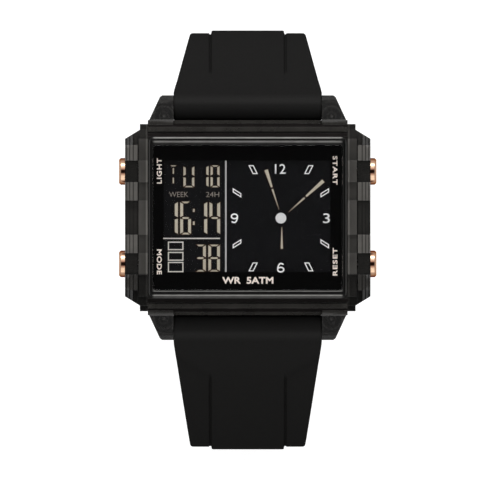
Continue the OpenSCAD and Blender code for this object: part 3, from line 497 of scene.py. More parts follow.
case = copy_of("case_middle")
soften(case, CASE_EDGE)
tools = []
for rib_x in RIB_X:
    for side_x in (-rib_x, rib_x):
        for start_y, end_y, top in RIB_BLOCKS:
            tools.append(box((side_x - RIB_W / 2, start_y - RIB_OVERLAP, top - RIB_DEPTH),
                             (side_x + RIB_W / 2, end_y + RIB_OVERLAP, top + RIB_CLEAR)))
for side_x in (-1, 1):
    for side_y in (-1, 1):
        near, far = sorted((side_x * RECESS_X, side_x * (RECESS_X + RECESS_REACH)))
        low_y, high_y = sorted((side_y * RECESS_Y[0], side_y * RECESS_Y[1]))
        tools.append(box((near, low_y, RECESS_Z), (far, high_y, RECESS_Z + RECESS_CLEAR)))
cut(case, joined(tools))
smooth(case, 35)
case.data.materials.clear()
for smoke in CASE_FINISHES:
    case.data.materials.append(smoke)
for face in case.data.polygons:
    face.material_index = CASE_FINISHES.index(case_finish(face))
fit_out(case, "case_shell", None, "smoke_plastic", "case", "case_middle")

bezel = copy_of("bezel")
soften(bezel, BEZEL_EDGE, segments=3)
smooth(bezel, 35)
fit_out(bezel, "bezel_ring", SMOKE_BEZEL, "smoke_bezel", "case", "bezel")

crystal = copy_of("crystal")
soften(crystal, CRYSTAL_EDGE, segments=3)
smooth(crystal, 35)
fit_out(crystal, "crystal_pane", CRYSTAL, "crystal_glass", "case", "crystal")


# Printing under the crystal and the display's segments

PRINT_Z = 9.82
PRINT_T = 0.015
BORDER_Z = 9.805
SEGMENT_Z = 9.205
# Left, right, bottom and top
WINDOW = (-14.7, 14.5, -9.55, 10.0)
CRYSTAL_HALF = (16.6, 12.75)
BORDER_INSET = 0.08
WINDOW_CLEAR = 1
CURVE_STEPS = 4
BOLD_STEPS = 8


def flat(corners, low):
    """A flat face with these corners in mm, counterclockwise from above."""
    piece = added(bpy.ops.mesh.primitive_circle_add, vertices=len(corners), radius=MM, fill_type="NGON")
    for vertex, (x, y) in zip(piece.data.vertices, corners):
        vertex.co = (x * MM, y * MM, low * MM)
    in_edit(piece, FACES_OUT)
    return piece


def thicken(piece, thick):
    """Gives a flat piece its thickness upwards, closed all round."""
    in_edit(piece, (bpy.ops.mesh.extrude_region_move,
                    {"TRANSFORM_OT_translate": {"value": (0, 0, thick * MM)}}))
    in_edit(piece, FACES_OUT)


def plate(corners, low, thick):
    """A thin plate with these corners."""
    piece = flat(corners, low)
    thicken(piece, thick)
    return piece


def outline(corners, low, thick, line):
    """A frame of the given line width inside these corners."""
    piece = flat(corners, low)
    in_edit(piece, (bpy.ops.mesh.inset, {"thickness": line * MM}), (bpy.ops.mesh.delete, {"type": "FACE"}))
    thicken(piece, thick)
    return piece


def between(a, b, share):
    """The number this share of the way from a to b, and never past either."""
    return a + (b - a) * min(1, max(0, share))


def rectangle(x0, x1, y0, y1):
    """The corners of a rectangle, counterclockwise."""
    return [(x0, y0), (x1, y0), (x1, y1), (x0, y1)]


def lettering(word, left, right, bottom, top, turn=0, weight=0.0, bold=0.0, spacing=1.0):
    """A word as a thin mesh that fills a box, after quarter turns; bold adds that many mm all round."""
    left, right, bottom, top = left + bold, right - bold, bottom + bold, top - bold
    bpy.ops.object.select_all(action="DESELECT")
    bpy.ops.object.text_add()
    text = bpy.context.active_object
    text.data.body = word
    text.data.size = 1
    text.data.offset = weight
    text.data.space_character = spacing
    text.data.resolution_u = CURVE_STEPS
    select_only(text)
    bpy.ops.object.convert(target="MESH")
    piece = bpy.context.active_object
    piece.data.transform(Matrix.Rotation(math.radians(90 * turn), 4, "Z"))
    xs = [vertex.co.x for vertex in piece.data.vertices]
    ys = [vertex.co.y for vertex in piece.data.vertices]
    scale_x = (right - left) / (max(xs) - min(xs))
    scale_y = (top - bottom) / (max(ys) - min(ys))
    middle_x = (max(xs) + min(xs)) / 2
    middle_y = (max(ys) + min(ys)) / 2
    for vertex in piece.data.vertices:
        vertex.co = (((left + right) / 2 + (vertex.co.x - middle_x) * scale_x) * MM,
                     ((bottom + top) / 2 + (vertex.co.y - middle_y) * scale_y) * MM, PRINT_Z * MM)
    in_edit(piece, (bpy.ops.mesh.remove_doubles, {"threshold": FINE_WELD * MM}), FACES_OUT)
    thicken(piece, PRINT_T)
    if bold:
        shape = piece.data.copy()
        for index in range(BOLD_STEPS):
            angle = 2 * math.pi * index / BOLD_STEPS
            shift = (bold * MM * math.cos(angle), bold * MM * math.sin(angle), 0)
            more = bpy.data.objects.new(word, shape.copy())
            bpy.context.scene.collection.objects.link(more)
            more.data.transform(Matrix.Translation(shift))
            unite(piece, more)
        merge_flats(piece, 1)
    return piece


half_x, half_y = [half - BORDER_INSET for half in CRYSTAL_HALF]
border = plate(rectangle(-half_x, half_x, -half_y, half_y), BORDER_Z, PRINT_T)
cut(border, box((WINDOW[0], WINDOW[2], BORDER_Z - WINDOW_CLEAR),
                (WINDOW[1], WINDOW[3], BORDER_Z + WINDOW_CLEAR)))
fit_out(border, "crystal_border_print", MASK_BLACK, "dial_print", "case")

words = joined([
    lettering("LIGHT", -15.92, -15.04, 5.95, 10.4, turn=1, bold=0.035, spacing=1.15),
    lettering("MODE", -15.92, -15.04, -9.95, -5.55, turn=3, bold=0.04, spacing=1.1),
    lettering("START", 14.87, 15.71, 5.75, 10.8, turn=3, bold=0.04, spacing=1.15),
    lettering("RESET", 14.87, 15.71, -10.15, -5.3, turn=1, bold=0.04, spacing=1.15),
    lettering("WR  5ATM", -4.45, 4.5, -11.6, -10.37, bold=0.06),
])
fit_out(words, "function_words", PRINT_WARM, "dial_print", "case")

NUMERALS = (("12", 5.7, 8.52, 1.9), ("3", 13.79, -0.12, 1.2))
ROUND_NUMERALS = ((5.78, -8.77, 1), (-2.33, -0.12, -1))
NUMERAL_H = 1.72
NUMERAL_W = 1.3
NUMERAL_LINE = 0.25
NUMERAL_WEIGHT = 0.006
BOWL_SHARE = 0.305
HOOK_H = 0.72
HOOK_W = 0.94
# Start and end in degrees, and the number of steps between them
BOWL_TURN = (0, 354, 59)
STROKE_TURN = (90, 184, 24)
HOOK_TURN = (22, 90, 12)


def oval(centre_y, radius_x, radius_y, start, end, count):
    """Points round an oval from one angle to another, in degrees."""
    turns = [math.radians(between(start, end, index / count)) for index in range(count + 1)]
    return [(radius_x * math.cos(a), centre_y + radius_y * math.sin(a)) for a in turns]


def six(x, y, way):
    """A six round this point, or a nine where way is -1: a round bowl and the stroke that curls over it."""
    half_w = NUMERAL_W / 2
    bowl_h = NUMERAL_H * BOWL_SHARE
    bowl_y = bowl_h - NUMERAL_H / 2
    line = NUMERAL_LINE
    top = NUMERAL_H / 2
    over = top - bowl_y
    hook_h = half_w * HOOK_H
    hook_w = half_w * HOOK_W
    bowl = outline([(x + way * a, y + way * b) for a, b in oval(bowl_y, half_w, bowl_h, *BOWL_TURN)],
                   PRINT_Z, PRINT_T, line)
    stroke = oval(bowl_y, half_w, over, *STROKE_TURN)
    stroke += reversed(oval(bowl_y, half_w - line, over - line, *STROKE_TURN))
    hook = oval(top - hook_h, hook_w, hook_h, *HOOK_TURN)
    hook += reversed(oval(top - hook_h, hook_w - line, hook_h - line, *HOOK_TURN))
    for shape in (stroke, hook):
        unite(bowl, plate([(x + way * a, y + way * b) for a, b in shape], PRINT_Z, PRINT_T))
    return bowl


dial_marks = [lettering(numeral, x - width / 2, x + width / 2, y - NUMERAL_H / 2, y + NUMERAL_H / 2,
                        weight=NUMERAL_WEIGHT) for numeral, x, y, width in NUMERALS]
dial_marks += [six(x, y, way) for x, y, way in ROUND_NUMERALS]
STEEP_MARKS = ((10.69, 8.4, 1), (10.69, -8.63, -1), (0.95, -8.63, 1), (0.95, 8.4, -1))
SHALLOW_MARKS = ((13.49, 4.34, 1), (13.49, -4.59, -1), (-1.87, -4.59, 1), (-1.87, 4.34, -1))
# Half width, half height and half of the lean
STEEP_SIZE = (0.45, 0.775, 0.38)
SHALLOW_SIZE = (0.75, 0.375, 0.475)
MARK_LINE = 0.17
for x, y, lean in STEEP_MARKS:
    half_w, half_h, shift = STEEP_SIZE
    shift *= lean
    corners = [(x - half_w - shift, y - half_h), (x + half_w - shift, y - half_h),
               (x + half_w + shift, y + half_h), (x - half_w + shift, y + half_h)]
    dial_marks.append(outline(corners, PRINT_Z, PRINT_T, MARK_LINE))
for x, y, lean in SHALLOW_MARKS:
    half_w, half_h, shift = SHALLOW_SIZE
    shift *= lean
    corners = [(x - half_w, y - half_h - shift), (x + half_w, y - half_h + shift),
               (x + half_w, y + half_h + shift), (x - half_w, y + half_h - shift)]
    dial_marks.append(outline(corners, PRINT_Z, PRINT_T, MARK_LINE))
marks = joined(dial_marks)
fit_out(marks, "dial_marks", PRINT_WHITE, "dial_print", "case")

HUB_PLACE = (5.81, -0.09)
HUB_R = 0.94
HUB_SIDES = 48
# Left, right, bottom and top
DIVIDER = (-3.97, -3.69, -9.5, 9.95)
FINE_LINE = (-14.8, -4.85, -3.74, -3.54)
BOX_X = (-13.97, -11.25)
BOX_ROWS = ((-5.7, -4.2), (-7.55, -6.0), (-9.55, -7.75))
BOX_LINE = 0.19
SMALL_WEIGHT = -0.006

hub = added(bpy.ops.mesh.primitive_circle_add, vertices=HUB_SIDES, radius=HUB_R * MM, fill_type="NGON",
            location=(HUB_PLACE[0] * MM, HUB_PLACE[1] * MM, PRINT_Z * MM))
settle(hub)
thicken(hub, PRINT_T)
fit_out(hub, "hub_disc", PRINT_HUB, "dial_print", "case")

divider = plate(rectangle(*DIVIDER), PRINT_Z, PRINT_T)
fit_out(divider, "divider_line", PRINT_GREY, "dial_print", "case")
fine_lines = [plate(rectangle(*FINE_LINE), PRINT_Z, PRINT_T)]
for row in BOX_ROWS:
    fine_lines.append(outline(rectangle(*BOX_X, *row), PRINT_Z, PRINT_T, BOX_LINE))
fit_out(joined(fine_lines), "fine_lines", PRINT_SILVER, "dial_print", "case")
small_words = joined([lettering("WEEK", -13.75, -10.4, 3.6, 4.5, weight=SMALL_WEIGHT),
                      lettering("24H", -7.3, -5.0, 3.6, 4.5, weight=SMALL_WEIGHT)])
fit_out(small_words, "small_words", PRINT_TAUPE, "dial_print", "case")

FRINGE_W = 0.065
SEGMENT_T = 0.012
DIGIT_GAP = 0.07
# How the ends of segments are cut, in shares of an upright's width, but END_RISE of a level one's
CORNER_CUT = 0.1
END_CUT = 0.5
END_RISE = 0.9
MIDDLE_POINT = 0.35
OUTER_SLOPE = 0.6
UPPER_SLOPE = 0.5
LOWER_SLOPE = 0.25
HAND_CENTRE = (5.97, -0.1)


def lit(corners):
    """One lit segment of the display with its soft brown edge."""
    piece = flat(corners, SEGMENT_Z)
    piece.data.materials.append(SEGMENT)
    piece.data.materials.append(FRINGE)
    in_edit(piece, (bpy.ops.mesh.inset, {"thickness": FRINGE_W * MM}))
    for face in piece.data.polygons:
        face.material_index = 0 if face.select else 1
    thicken(piece, SEGMENT_T)
    return piece


def digit(lights, x0, x1, y0, y1, bar, cross):
    """A seven segment digit in a box; bar and cross are the widths of upright and level segments."""
    ym = (y0 + y1) / 2
    gap = DIGIT_GAP
    corner = gap + bar * CORNER_CUT
    end = cross * END_RISE + bar * END_CUT
    point = bar * MIDDLE_POINT
    outer = gap + bar * OUTER_SLOPE
    upper = gap + bar * UPPER_SLOPE
    lower = gap + bar * LOWER_SLOPE
    shapes = {
        "a": [(x0 + corner, y1), (x0 + end, y1 - cross), (x1 - end, y1 - cross), (x1 - corner, y1)],
        "b": [(x1 - bar, ym + upper), (x1, ym + gap), (x1, y1 - gap), (x1 - bar, y1 - outer)],
        "c": [(x1 - bar, y0 + outer), (x1, y0 + gap), (x1, ym - gap), (x1 - bar, ym - lower)],
        "d": [(x0 + corner, y0), (x1 - corner, y0), (x1 - end, y0 + cross), (x0 + end, y0 + cross)],
        "e": [(x0, y0 + gap), (x0 + bar, y0 + outer), (x0 + bar, ym - lower), (x0, ym - gap)],
        "f": [(x0, ym + gap), (x0 + bar, ym + upper), (x0 + bar, y1 - outer), (x0, y1 - gap)],
        "g": [(x0 + point, ym), (x0 + bar, ym - cross / 2), (x1 - bar, ym - cross / 2),
              (x1 - point, ym), (x1 - bar, ym + cross / 2), (x0 + bar, ym + cross / 2)],
    }
    return [lit(shapes[light]) for light in lights]


def hand_segment(turn, r0, r1, w0, w1):
    """A tapered segment of a display hand; turn is clockwise from twelve in degrees."""
    along = (math.sin(math.radians(turn)), math.cos(math.radians(turn)))
    across = (along[1], -along[0])
    ends = [(r0, -w0 / 2), (r0, w0 / 2), (r1, w1 / 2), (r1, -w1 / 2)]
    corners = [(HAND_CENTRE[0] + r * along[0] + w * across[0], HAND_CENTRE[1] + r * along[1] + w * across[1])
               for r, w in ends]
    return lit(corners)


# Lit segments, left, right, bottom, top, and the widths of upright and of level segments
DIGITS = (
    ("bcdef", -11.3, -9.3, 5.27, 9.1, 0.5, 0.33), ("bc", -7.33, -6.8, 5.27, 9.2, 0.5, 0.33),
    ("abcdef", -6.56, -4.88, 5.27, 9.2, 0.5, 0.33), ("bc", -12.85, -12.18, -3.0, 2.87, 0.64, 0.42),
    ("acdefg", -11.87, -9.87, -3.0, 2.87, 0.62, 0.42), ("bc", -7.7, -7.04, -3.0, 2.87, 0.64, 0.42),
    ("bcfg", -6.75, -4.78, -3.0, 2.87, 0.62, 0.42), ("abcdg", -9.25, -7.28, -9.5, -4.67, 0.6, 0.4),
    ("abcdefg", -6.95, -4.82, -9.5, -4.67, 0.6, 0.4),
)
# Turn, start, end, and the widths at the start and at the end
HAND_SEGMENTS = (
    (342, 1.54, 5.4, 0.13, 0.42), (342, 5.65, 8.94, 0.42, 0.75),
    (48, 1.54, 5.4, 0.13, 0.42), (48, 5.65, 9.83, 0.42, 0.75),
    (180, 1.54, 5.4, 0.2, 0.52),
)

segments = [lit([(-13.62, 9.2), (-13.35, 8.92), (-12.68, 8.92), (-12.4, 9.2)]),
            lit([(-13.18, 7.72), (-13.02, 7.55), (-12.86, 7.72), (-12.86, 8.7), (-13.18, 8.7)]),
            lit([(-13.18, 5.95), (-12.86, 5.95), (-12.86, 6.95), (-13.02, 7.12), (-13.18, 6.95)])]
for row in DIGITS:
    segments += digit(*row)
segments += [lit(rectangle(-9.65, -9.23, 0.95, 1.58)), lit(rectangle(-9.65, -9.23, -1.33, -0.62))]
segments += [hand_segment(*row) for row in HAND_SEGMENTS]
display = joined(segments)
fit_out(display, "display_segments", None, "display_film", "case")


# Pushers with rounded caps, and their springs

PUSHERS = {"light": (-1, 1), "mode": (-1, -1), "start": (1, 1), "reset": (1, -1)}
PUSHER_Y = 8.1
PUSHER_Z = 6.1
CAP_EDGE = 0.3
SPRING_X = (18.02, 20.93)
SPRING_R = 1.3
SPRING_WIRE = 0.14
SPRING_TURNS = 3
WIRE_SIDES = 8
COIL_STEPS = 24

for name, (side_x, side_y) in PUSHERS.items():
    pusher = copy_of(f"pusher_{name}")
    soften(pusher, CAP_EDGE, segments=5, angle=40)
    smooth(pusher, 32)
    fit_out(pusher, f"{name}_button", ROSE, "rose_metal", f"{name}_pusher", f"pusher_{name}")
    wire = added(bpy.ops.mesh.primitive_circle_add, vertices=WIRE_SIDES, radius=SPRING_WIRE * MM,
                 rotation=(math.pi / 2, 0, 0), location=(0, SPRING_R * MM, 0))
    settle(wire)
    in_edit(wire, (bpy.ops.transform.rotate, {"value": math.pi / 2, "orient_axis": "Z",
                                              "center_override": (0, SPRING_R * MM, 0)}))
    modify(wire, "SCREW", angle=2 * math.pi * SPRING_TURNS, steps=COIL_STEPS * SPRING_TURNS,
           render_steps=COIL_STEPS * SPRING_TURNS, axis="X",
           screw_offset=(SPRING_X[1] - SPRING_X[0] - 2 * SPRING_WIRE) * MM, use_merge_vertices=False)
    in_edit(wire, (bpy.ops.mesh.fill_holes, {"sides": WIRE_SIDES}), FACES_OUT)
    start_x = SPRING_X[0] + SPRING_WIRE
    wire.data.transform(Matrix.Diagonal((side_x, 1, 1, 1))
                        @ Matrix.Translation((start_x * MM, 0, 0)))
    wire.data.transform(Matrix.Translation((0, side_y * PUSHER_Y * MM, PUSHER_Z * MM)))
    in_edit(wire, FACES_OUT)
    smooth(wire, 60)
    fit_out(wire, f"{name}_return_spring", STEEL, "steel", "case", f"spring_{name}")
    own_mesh(wire)


# Strap: rings of points swept along each half's own path

STRAP_W = 25.98
MID_W = 20.2
END_W = 18.4
ROOT_T = 1.85
LEG_T = 1.4
BAND_H = 0.46
BAND_HALF = 6.4
ROLL_R = 2.43
ROLL_REACH = 2.718
ROOT_LEN = 26
TAPER_Y = 22
END_TAPER = 22
BAND_FADE = 2
EDGE_R = 0.55
# Towards twelve (1) and towards six (-1): the middle line's start and heading, its path as lengths and
# turns in degrees, how far the half reaches when bent as here, its length, the end of its raised band,
# the ends of the fold beside the band as (across, along), and whether it has a tip
SIDES = {
    1: {"start": (19.8, 4.6, -15), "path": ((19.7803, -75), (19, -17), (21.2197, 0)),
        "reach": 33.0, "length": 60, "band_end": 34, "fold": ((6.6, 4.5), (11.4, 2.8)), "tip": False},
    -1: {"start": (19.8, 4.6, -12), "path": ((32.9989, -78), (16.4011, 0), (21.9911, -90), (28.6089, 0)),
         "reach": 41.0, "length": 100, "band_end": 44, "fold": ((6.6, 7.3), (11.2, 4.5)), "tip": True},
}
BUCKLE_ROLL = 1.9
STATION_STEP = 0.5
TIP_STEP = 2
TIP_LEAST = 0.02
FOLD_START = 0.2
FOLD_END = 1.3
EDGE_OF_WIDTH = 0.45
EDGE_OF_THICKNESS = 0.42
EDGE_TURNS = [math.pi / 8 * index for index in range(5)]
WING_STEPS = 9
BAND_MARGIN = 0.5
BAND_FOOT = 0.46
GROOVE_DEPTH = 0.24
# Distances beyond the band's edge, with shares of the groove's depth
GROOVE = ((0.34, 0.7), (0.2, 1), (0.07, 0.6))
# Distances inside the band's edge, with shares of the band's height left above
BAND_RIM = ((0.03, 0.3), (0.12, 0.08), (0.3, 0))
RIM_FOOT = 0.2


def ramp(value, start, end):
    """Share of the way from start to end, eased at both."""
    share = min(1, max(0, (value - start) / (end - start)))
    return share * share * (3 - 2 * share)


def strap_at(side, s):
    """Place and heading of the strap's middle line, s mm from its lug bar."""
    y, z, heading = SIDES[side]["start"]
    path = SIDES[side]["path"]
    for index, (length, turn) in enumerate(path):
        step = s if index == len(path) - 1 else min(s, length)
        rate = turn / length
        ahead = heading + rate * step
        if rate == 0 or s <= 0:
            y += step * math.cos(math.radians(heading))
            z += step * math.sin(math.radians(heading))
            ahead = heading if s <= 0 else ahead
        else:
            radius = 180 / math.pi / rate
            y += radius * (math.sin(math.radians(ahead)) - math.sin(math.radians(heading)))
            z -= radius * (math.cos(math.radians(ahead)) - math.cos(math.radians(heading)))
        heading = ahead
        s -= step
        if s <= 0:
            break
    return y, z, heading


def out_point(side, s, out):
    """The point that stands out mm off the middle line at s."""
    y, z, heading = strap_at(side, s)
    return y - out * math.sin(math.radians(heading)), z + out * math.cos(math.radians(heading))


def half_thick(s):
    """Half of the strap's thickness at s."""
    return between(ROOT_T, LEG_T, s / ROOT_LEN)


def half_width(side, s):
    """Half of the strap's width at s, with the rounded tip."""
    data = SIDES[side]
    bend = data["path"][0][0]
    if s < bend:
        share = (out_point(side, max(s, 0), half_thick(s))[0] - TAPER_Y) / (data["reach"] - TAPER_Y)
        width = between(STRAP_W, MID_W, share) / 2
    else:
        width = between(MID_W, END_W, (s - bend) / END_TAPER) / 2
    if data["tip"]:
        past = s - (data["length"] - width)
        if past > 0:
            width = math.sqrt(max(TIP_LEAST, width ** 2 - past ** 2))
    return width


def profile(side, s):
    """Ring of (across, out) points round the strap at s, from the middle of its inner face."""
    data = SIDES[side]
    width = half_width(side, s)
    thick = half_thick(s)
    rolls = [(0, ROLL_R, ROLL_REACH if s < 0 else ROLL_R)]
    if side > 0:
        rolls.append((data["length"], BUCKLE_ROLL, BUCKLE_ROLL))
    lift = BAND_H * (1 - ramp(s, data["band_end"], data["band_end"] + BAND_FADE))
    rolled = 0
    for middle, radius, stretch in rolls:
        if abs(s - middle) < stretch:
            rolled = max(rolled, radius * math.sqrt(1 - ((s - middle) / stretch) ** 2))
    outside = s < 0 or s > data["length"]
    low = rolled if outside else max(thick, rolled)
    top = rolled if outside else max(thick + lift, rolled)
    (x_in, s_in), (x_out, s_out) = data["fold"]

    def wing_top(x):
        fold_s = s_in + (s_out - s_in) * (x - x_in) / (x_out - x_in)
        return top - (top - low) * ramp(s, fold_s - FOLD_START, fold_s + FOLD_END)

    edge = min(EDGE_R, width * EDGE_OF_WIDTH, 2 * low * EDGE_OF_THICKNESS)
    right = [(0, -low), (width * 0.5, -low), (width - edge, -low)]
    right += [(width - edge + edge * math.sin(a), -low + edge - edge * math.cos(a))
              for a in EDGE_TURNS[1:]]
    shoulder = wing_top(width - edge)
    right += [(width - edge + edge * math.cos(a), shoulder - edge + edge * math.sin(a))
              for a in EDGE_TURNS]
    band = min(BAND_HALF, width - edge - BAND_MARGIN)
    foot = band + BAND_FOOT
    for index in range(1, WING_STEPS + 1):
        x = between(width - edge, foot, index / WING_STEPS)
        right.append((x, wing_top(x)))
    step_h = top - wing_top(foot)
    groove = GROOVE_DEPTH * step_h / BAND_H
    right += [(band + x, wing_top(foot) - groove * share) for x, share in GROOVE]
    right.append((band, wing_top(foot) + step_h * RIM_FOOT))
    right += [(band - x, top - step_h * share) for x, share in BAND_RIM]
    right += [(band * 0.5, top), (0, top)]
    left = [(-x, out) for x, out in reversed(right[1:-1])]
    return right + left


def strap_piece(side, s0, s1):
    """A closed length of strap from s0 to s1 as a grid drawn round and along it."""
    data = SIDES[side]
    spans = round((s1 - s0) / STATION_STEP)
    stations = [s0 + (s1 - s0) * index / spans for index in range(spans + 1)]
    if s0 == 0:
        stations = [-ROLL_REACH * math.cos(math.radians(a)) for a in range(4, 90, 6)] + stations
    if side > 0 and s1 == data["length"]:
        stations += [s1 + BUCKLE_ROLL * math.sin(math.radians(a)) for a in range(6, 90, 8)]
    if data["tip"] and s1 == data["length"]:
        stations = [s for s in stations if s < s1 - TIP_STEP]
        stations += [s1 - TIP_STEP * (1 - math.sin(math.radians(a))) for a in range(0, 89, 6)]
    rings = [profile(side, s) for s in stations]
    count = len(rings[0])
    piece = added(bpy.ops.mesh.primitive_grid_add, x_subdivisions=count, y_subdivisions=len(stations) - 1,
                  size=1)
    for row, (s, ring) in enumerate(zip(stations, rings)):
        for column in range(count + 1):
            x, out = ring[column % count]
            y, z = out_point(side, s, out)
            piece.data.vertices[row * (count + 1) + column].co = (x * MM, side * y * MM, z * MM)
    in_edit(piece, (bpy.ops.mesh.remove_doubles, {"threshold": FINE_WELD * MM}),
            (bpy.ops.mesh.fill_holes, {"sides": 0}), FACES_OUT)
    return piece


LUG_BORE = 0.95
BUCKLE_BORE = 0.79
BORE_LENGTH = 40
BORE_SIDES = 40
TONGUE_SLOT = ((-1.3, -3.2, -4), (1.3, 4, 4))
HOLE_R = 1.1
HOLE_DEPTH = 8
HOLE_SIDES = 32
FLARE = 0.6
FLARE_OUT = 0.15
FIRST_HOLE = 14
HOLE_GAP = 6
HOLE_COUNT = 7


def bore(side, s, radius):
    """A cylinder across the strap at s, as a cutting tool."""
    y, z, _ = strap_at(side, s)
    tool = added(bpy.ops.mesh.primitive_cylinder_add, vertices=BORE_SIDES, radius=radius * MM,
                 depth=BORE_LENGTH * MM, rotation=(0, math.pi / 2, 0), location=(0, side * y * MM, z * MM))
    settle(tool)
    return tool


def hole_tools(side, s):
    """A cylinder through the strap at s, and a cone that flares its outer end."""
    y, z, heading = strap_at(side, s)
    turn = math.radians(heading) * side
    out = Vector((0, -math.sin(math.radians(heading)) * side, math.cos(math.radians(heading))))
    centre = Vector((0, side * y, z)) * MM
    tool = added(bpy.ops.mesh.primitive_cylinder_add, vertices=HOLE_SIDES, radius=HOLE_R * MM,
                 depth=HOLE_DEPTH * MM, rotation=(turn, 0, 0), location=centre)
    settle(tool)
    flare = added(bpy.ops.mesh.primitive_cone_add, vertices=HOLE_SIDES, radius1=HOLE_R * MM,
                  radius2=(HOLE_R + FLARE) * MM, depth=FLARE * MM, rotation=(turn, 0, 0),
                  location=centre + out * (LEG_T + FLARE_OUT) * MM)
    settle(flare)
    return [tool, flare]


HOLES = [SIDES[-1]["length"] - FIRST_HOLE - HOLE_GAP * index for index in range(HOLE_COUNT)]
# Name, side, start, end, the two bodies it lies between and the stretch between them, which this script
# doesn't use, and the nodes it replaces
PIECES = (
    ("upper_strap_root", 1, 0, 27.7, "buckle_half_1", "buckle_half_2", 10, 24, ("upper_strap_1",)),
    ("upper_strap_leg", 1, 27.7, 60, "buckle_half_2", "buckle_half_3", 34.8, 42.2,
     ("upper_strap_2", "upper_strap_3")),
    ("lower_strap_root", -1, 0, 35.5, "hole_half_1", "hole_half_2", 17, 31, ("lower_strap_1",)),
    ("lower_strap_leg", -1, 35.5, 59, "hole_half_2", "hole_half_3", 40, 54, ("lower_strap_2",)),
    ("lower_strap_foot", -1, 59, 100, "hole_half_3", "hole_half_4", 65, 77,
     ("lower_strap_3", "lower_strap_4")),
)
for name, side, s0, s1, body_a, body_b, bend_from, bend_to, replaced in PIECES:
    strap = strap_piece(side, s0, s1)
    if s0 == 0:
        cut(strap, bore(side, 0, LUG_BORE))
    if side > 0 and s1 == SIDES[side]["length"]:
        cut(strap, bore(side, s1, BUCKLE_BORE))
        slot_tool = box(*TONGUE_SLOT)
        y, z, heading = strap_at(side, s1)
        slot_tool.data.transform(Matrix.Translation((0, y * MM, z * MM))
                                 @ Matrix.Rotation(math.radians(heading), 4, "X"))
        cut(strap, slot_tool)
    for hole_s in HOLES:
        if side < 0 and s0 < hole_s < s1:
            for tool in hole_tools(side, hole_s):
                cut(strap, tool)
    smooth(strap, 38, true_flats=False)
    fit_out(strap, name, RESIN, "strap_resin", None, *replaced)
    ends = [out_point(side, s, 0) for s in (bend_from, bend_to)]
    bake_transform(strap)


# Keepers and buckle

for node_name, name, body, material, slot, width in (
        ("fixed_keeper", "fixed_loop", "buckle_half_3", RESIN, "strap_resin", 0.4),
        ("free_keeper", "free_loop", "free_keeper", RESIN, "strap_resin", 0.4),
        ("buckle_frame", "buckle_ring", "buckle", BUCKLE_BLACK, "buckle_black", 0.35),
        ("buckle_tongue", "buckle_pin", "tongue", BUCKLE_BLACK, "buckle_black", 0.25)):
    piece = copy_of(node_name)
    soften(piece, width, segments=4)
    smooth(piece, 35)
    fit_out(piece, name, material, slot, body, node_name)

for node_name, name, material, slot, width in (
        ("case_back", "back_plate", BACK_STEEL, "back_steel", 0.12),
        ("case_back_screws", "back_screws", STEEL, "steel", 0.06)):
    piece = copy_of(node_name)
    soften(piece, width, segments=2, angle=40)
    smooth(piece, 35)
    fit_out(piece, name, material, slot, "case", node_name)


# Floor, light and camera, with their sizes in metres

HORIZON = 1.0
DOME = 0.4
DIFFUSE_HORIZON = 0.3
TWELVE_STRIP = 1.5
SIX_STRIP = 1.2
CAP_START = 11
CAP_END = 19
CAP_LEVEL = 0.03
STRIP_ACROSS = (0.2, 0.42)
STRIP_UP = (0.1, 0.3)
STRIP_TURN = (-0.2, 0.2)
DOME_UP = (0.2, 0.5)
FLOOR_DROP = 0.0002
FLOOR_GLOW = 0.78
LAMP_POWER = 3
LAMP_SIZE = (0.7, 0.25)
LAMP_PLACE = (0, 0.75, 0.45)

floor = added(bpy.ops.mesh.primitive_plane_add, size=8, location=(0, 0, cad_low.z - FLOOR_DROP))
floor.name = "floor"
floor_finish = bpy.data.materials.new("floor_white")
floor_finish.use_nodes = True
tree = floor_finish.node_tree
paint = tree.nodes["Principled BSDF"]
paint.inputs["Base Color"].default_value = (0.5, 0.5, 0.5, 1)
paint.inputs["Roughness"].default_value = 0.9
paint.inputs["Specular IOR Level"].default_value = 0.1
paint.inputs["Emission Color"].default_value = (1, 1, 1, 1)
path = shader_node(tree, "ShaderNodeLightPath").outputs
seen = sum_of(tree, "MAXIMUM", path["Is Camera Ray"], path["Is Glossy Ray"])
tree.links.new(sum_of(tree, "MULTIPLY", seen, FLOOR_GLOW), paint.inputs["Emission Strength"])
floor.data.materials.append(floor_finish)

world = bpy.data.worlds.new("studio")
bpy.context.scene.world = world
world.use_nodes = True
sky_tree = world.node_tree
sky = sky_tree.nodes["Background"]
ahead = parts_of(sky_tree, shader_node(sky_tree, "ShaderNodeTexCoord").outputs["Generated"])


def sky_step(source, start, end, low, high):
    """A number that goes smoothly from low to high while the source goes from start to end."""
    return shader_node(sky_tree, "ShaderNodeMapRange", {
        "Value": source, "From Min": start, "From Max": end, "To Min": low, "To Max": high},
        interpolation_type="SMOOTHSTEP").outputs["Result"]


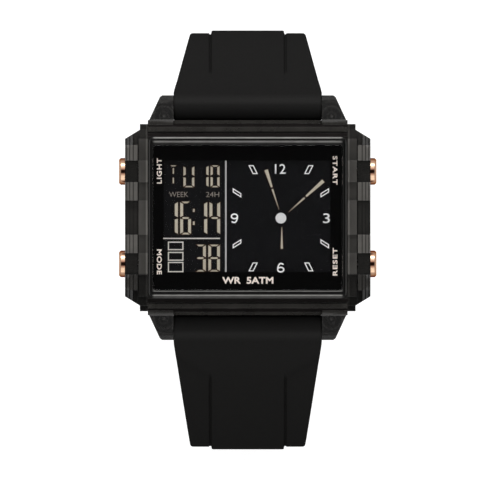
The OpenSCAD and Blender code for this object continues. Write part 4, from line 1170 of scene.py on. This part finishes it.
# White at the horizon, grey above, black overhead, with one long softbox towards twelve and one towards six
sideways = sum_of(sky_tree, "ABSOLUTE", ahead["X"], 0.0)
strip = sum_of(sky_tree, "MULTIPLY", sky_step(sideways, *STRIP_ACROSS, 1, 0),
               sky_step(ahead["Z"], *STRIP_UP, 0, 1))
strip = sum_of(sky_tree, "MULTIPLY", strip, sky_step(ahead["Y"], *STRIP_TURN, SIX_STRIP, TWELVE_STRIP))
path = shader_node(sky_tree, "ShaderNodeLightPath").outputs
horizon = sky_step(path["Is Diffuse Ray"], 0, 1, HORIZON, DIFFUSE_HORIZON)
dome = shader_node(sky_tree, "ShaderNodeMix", {
    "Factor": sky_step(ahead["Z"], *DOME_UP, 0, 1), "A": horizon, "B": DOME}).outputs["Result"]
overhead = sky_step(ahead["Z"], math.cos(math.radians(CAP_END)), math.cos(math.radians(CAP_START)),
                    1, CAP_LEVEL)
light = sum_of(sky_tree, "MULTIPLY", sum_of(sky_tree, "ADD", dome, strip), overhead)
sky_tree.links.new(light, sky.inputs["Strength"])
sky.inputs["Color"].default_value = (1, 1, 1, 1)

lamp_data = bpy.data.lights.new("twelve_lamp", "AREA")
lamp_data.shape = "RECTANGLE"
lamp_data.size, lamp_data.size_y = LAMP_SIZE
lamp_data.energy = LAMP_POWER
lamp = bpy.data.objects.new("twelve_lamp", lamp_data)
lamp.location = LAMP_PLACE
lamp.rotation_euler = (-lamp.location).to_track_quat("-Z", "Y").to_euler()
lamp.visible_camera = False
bpy.context.scene.collection.objects.link(lamp)

VIEW_W = 0.0875
DISTANCE = 3.5
AIM = (0.0004, -0.00567, 0.011)
SENSOR_W = 36
camera_data = bpy.data.cameras.new("camera")
camera_data.sensor_width = SENSOR_W
camera_data.lens = SENSOR_W * DISTANCE / VIEW_W
camera_data.clip_start = 0.1
camera_data.clip_end = 20
camera = bpy.data.objects.new("camera", camera_data)
camera.location = (AIM[0], AIM[1], AIM[2] + DISTANCE)
bpy.context.scene.collection.objects.link(camera)
bpy.context.scene.camera = camera
bpy.context.scene.view_settings.view_transform = "Standard"

bpy.ops.object.select_all(action="DESELECT")
